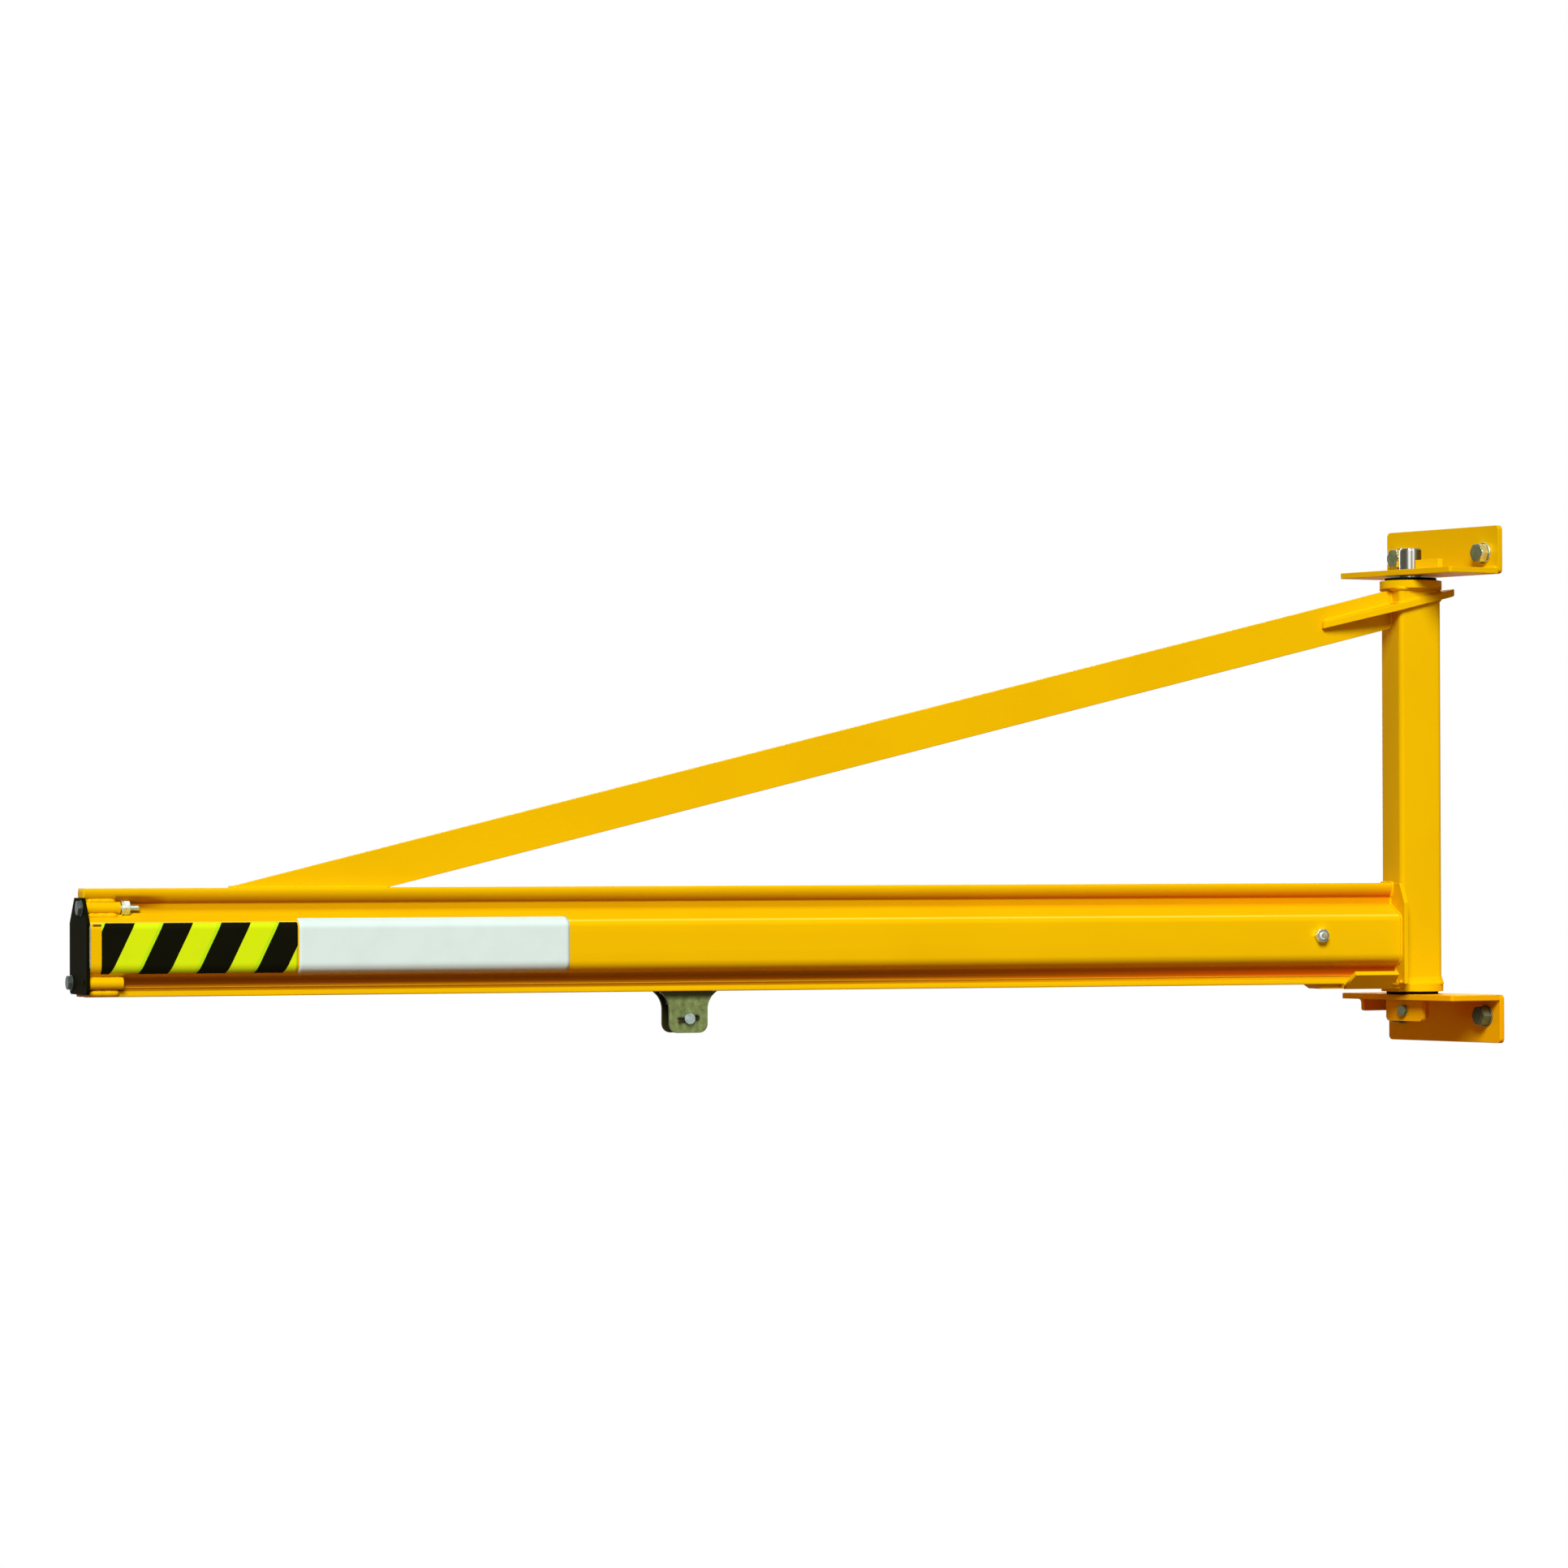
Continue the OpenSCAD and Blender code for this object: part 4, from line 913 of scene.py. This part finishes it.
def tape(name, start, end, low, high, corner, finish):
    """Thin sheet on the track's outline: rows follow the outline between two levels, and each
    row runs from start to end. Near the round corners of radius r it is drawn in by
    r - sqrt(r^2 - (r - d)^2), where d is the distance from the sheet's upper or lower edge."""
    bent = track_side[8:-10]
    length = np.concatenate([[0], np.cumsum(np.linalg.norm(np.diff(bent, axis=0), axis=1))])
    s = np.linspace(np.interp(low, bent[:, 1], length), np.interp(high, bent[:, 1], length), 64)
    y, z = np.interp(s, length, bent[:, 0]), np.interp(s, length, bent[:, 1])
    normal = np.stack([np.gradient(z, s), -np.gradient(y, s)], axis=1)
    lift, thickness = 0.0002, 0.0003
    y, z = y + lift * normal[:, 0], z + lift * normal[:, 1]
    d = np.clip(corner - np.minimum(s - s[0], s[-1] - s), 0, corner)
    drawn = corner - np.sqrt(np.clip(corner ** 2 - d ** 2, 0, None))
    share = np.linspace(0, 1, 80)
    u = (start + drawn)[:, None] + share[None, :] * (end - start - 2 * drawn)[:, None]
    points = arm(u, y[:, None], z[:, None]).reshape(-1, 3)
    rows, count = u.shape
    index = np.arange(rows * count).reshape(rows, count)
    quads = np.stack([index[:-1, :-1], index[:-1, 1:], index[1:, 1:], index[1:, :-1]], axis=-1)
    quads = quads.reshape(-1, 4)
    mesh = bpy.data.meshes.new(name)
    mesh.from_pydata(points.tolist(), [], quads.tolist())
    sheet = mesh.uv_layers.new(name="sheet")
    corners = quads.reshape(-1)
    flat = np.stack([u.reshape(-1), np.repeat(s - s[0], count)], axis=1)
    sheet.data.foreach_set("uv", flat[corners].astype(np.float32).reshape(-1))
    mesh.polygons.foreach_set("use_smooth", np.ones(len(mesh.polygons), bool))
    mesh.materials.append(finish)
    piece = bpy.data.objects.new(name, mesh)
    bpy.context.scene.collection.objects.link(piece)
    thick = piece.modifiers.new("thickness", "SOLIDIFY")
    thick.thickness, thick.offset = thickness, -1.0
    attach(piece, "arm")


def hazard_tape():
    """Slanting stripes by the fraction of (u - start + lean * v) / pitch: u runs along the arm and v
    up the tape. Black lies over one half of each pitch, and the yellow half starts greener."""
    vinyl = Finish("hazard_tape")
    u, v, _ = vinyl.parts(vinyl.node("ShaderNodeUVMap", {"uv_map": "sheet"}))
    start, lean, pitch = 2.3647, 0.489, 0.0961
    across = (u - start + v * lean) / pitch
    phase = vinyl.node("ShaderNodeMath", {"operation": "FRACT"}, {0: across + 20.0})
    stripe = vinyl.node("ShaderNodeMath", {"operation": "ABSOLUTE"}, {0: phase - 0.5}).above(0.2430, 0.004)
    at = vinyl.place()
    grime_and_shade = vinyl.noise(at, 30.0, 5.0, 0.65)
    weave = vinyl.noise(at, 1200.0, 1.0)
    bright = vinyl.blend(grime_and_shade.above(0.5, 0.4), (0.66, 0.90, 0.006), (0.60, 0.84, 0.010))
    dark = vinyl.blend(grime_and_shade, (0.0035, 0.0040, 0.0015), (0.0065, 0.0070, 0.0030))
    bright = vinyl.blend(1.0 - phase.above(0.315, 0.006), bright, (0.49, 0.86, 0.008))
    return vinyl.surface(
        Base_Color=vinyl.blend(stripe, bright, dark),
        Roughness=0.34 + 0.18 * grime_and_shade,
        Specular_IOR_Level=0.015,
        Normal=vinyl.bump(weave, 0.0001, 0.4))


def white_vinyl():
    """Plain white tape, slightly darker and rougher in broad patches of grime."""
    vinyl = Finish("white_vinyl")
    at = vinyl.place()
    grime_and_shade = vinyl.noise(at, 18.0, 5.0, 0.65)
    weave = vinyl.noise(at, 1200.0, 1.0)
    tone = vinyl.blend(grime_and_shade.above(0.45, 0.4), (0.69, 0.895, 0.865), (0.65, 0.845, 0.805))
    return vinyl.surface(
        Base_Color=tone,
        Roughness=0.36 + 0.16 * grime_and_shade,
        Specular_IOR_Level=0.02,
        Normal=vinyl.bump(weave, 0.0001, 0.4))


tape("hazard_tape", start=2.0285, end=2.3540, low=0.0375, high=0.1190, corner=0.0010, finish=hazard_tape())
tape("white_blank", start=1.5650, end=2.0260, low=0.0345, high=0.1255, corner=0.0030, finish=white_vinyl())


# ---------------------------------------------------------------------------
# Studio: a pale floor disc under the crane, a white background and a warm bounce
# from below. One soft lamp from the right of the wall lights the near side, and
# a weaker low one the far side.

def stage_floor():
    """Disc under the object: rings of points at radius r and angle a about a point in the room."""
    rings, around = 12, 96
    reach, depth, forward = 6.0, -2.1, -1.0
    r = np.linspace(0.02, reach, rings)[:, None]
    a = np.linspace(0, 2 * np.pi, around, endpoint=False)
    points = np.stack([r * np.cos(a), r * np.sin(a) + forward, np.full((rings, around), depth)], axis=-1)
    index = np.arange(rings * around).reshape(rings, around)
    quads = np.stack([index[:-1], index[1:], np.roll(index[1:], -1, 1), np.roll(index[:-1], -1, 1)], axis=-1)
    faces = quads.reshape(-1, 4).tolist() + [index[0, ::-1].tolist()]
    mesh = bpy.data.meshes.new("floor")
    mesh.from_pydata(points.reshape(-1, 3).tolist(), [], faces)
    floor = bpy.data.objects.new("floor", mesh)
    bpy.context.scene.collection.objects.link(floor)
    pale = Finish("pale_floor")
    seen = pale.node("ShaderNodeLightPath", out="Is Camera Ray")
    mirrored = pale.node("ShaderNodeLightPath", out="Is Glossy Ray")
    passed = pale.node("ShaderNodeLightPath", out="Is Transmission Ray")
    tint = pale.blend(pale.noise(pale.place(), 1.5), (0.25, 0.076, 0.018), (0.27, 0.084, 0.020))
    matt = pale.node("ShaderNodeBsdfDiffuse", {}, {"Color": tint})
    white = pale.node("ShaderNodeEmission", {}, {"Color": (1, 1, 1, 1), "Strength": 1.0})
    mix = pale.node("ShaderNodeMixShader", {}, {0: (seen + mirrored + passed) * 0.9, 1: matt, 2: white})
    pale.node("ShaderNodeOutputMaterial", {}, {"Surface": mix})
    mesh.materials.append(pale.material)


def background():
    """White to the camera, to mirrors and through glass, and a warm bounce for all other rays."""
    world = bpy.data.worlds.new("studio")
    bpy.context.scene.world = world
    room = Finish("studio", world)
    white_for = room.node("ShaderNodeLightPath", out="Is Camera Ray")
    for ray in ("Is Glossy Ray", "Is Transmission Ray"):
        white_for = room.node("ShaderNodeMath", {"operation": "MAXIMUM"},
                              {0: white_for, 1: room.node("ShaderNodeLightPath", out=ray)})
    bounce = room.node("ShaderNodeBackground", {}, {"Color": (0.66, 0.27, 0.11, 1), "Strength": 0.26})
    white = room.node("ShaderNodeBackground", {}, {"Color": (1, 1, 1, 1), "Strength": 1.0})
    mix = room.node("ShaderNodeMixShader", {}, {0: white_for, 1: bounce, 2: white})
    room.node("ShaderNodeOutputWorld", {}, {"Surface": mix})


def lamp(name, azimuth, elevation, strength, softness):
    """Sun from an azimuth round from the room's -Y towards +X, at an elevation, both in degrees."""
    a, e = math.radians(azimuth), math.radians(elevation)
    towards = Vector((math.sin(a) * math.cos(e), -math.cos(a) * math.cos(e), math.sin(e)))
    light = bpy.data.lights.new(name, "SUN")
    light.energy, light.angle = strength, math.radians(softness)
    made = bpy.data.objects.new(name, light)
    made.matrix_world = towards.to_track_quat("Z", "Y").to_matrix().to_4x4()
    bpy.context.scene.collection.objects.link(made)


stage_floor()
background()
lamp("key", azimuth=54, elevation=37, strength=3.6, softness=26)
lamp("far_side", azimuth=238, elevation=6, strength=2.0, softness=30)
bpy.context.scene.view_settings.view_transform = "Standard"

camera = bpy.data.cameras.new("camera")
camera.lens, camera.sensor_width = 138.81, 36.0
camera.clip_end = 100.0
viewpoint = (8.19782, -6.83103, 0.27748)
pan, tip_up, roll = math.radians(56.4573), math.radians(90.7278), math.radians(-0.1624)
eye = bpy.data.objects.new("camera", camera)
eye.matrix_world = (Matrix.Translation(viewpoint) @ Matrix.Rotation(pan, 4, "Z")
                    @ Matrix.Rotation(tip_up, 4, "X") @ Matrix.Rotation(roll, 4, "Z"))
bpy.context.scene.collection.objects.link(eye)
bpy.context.scene.camera = eye
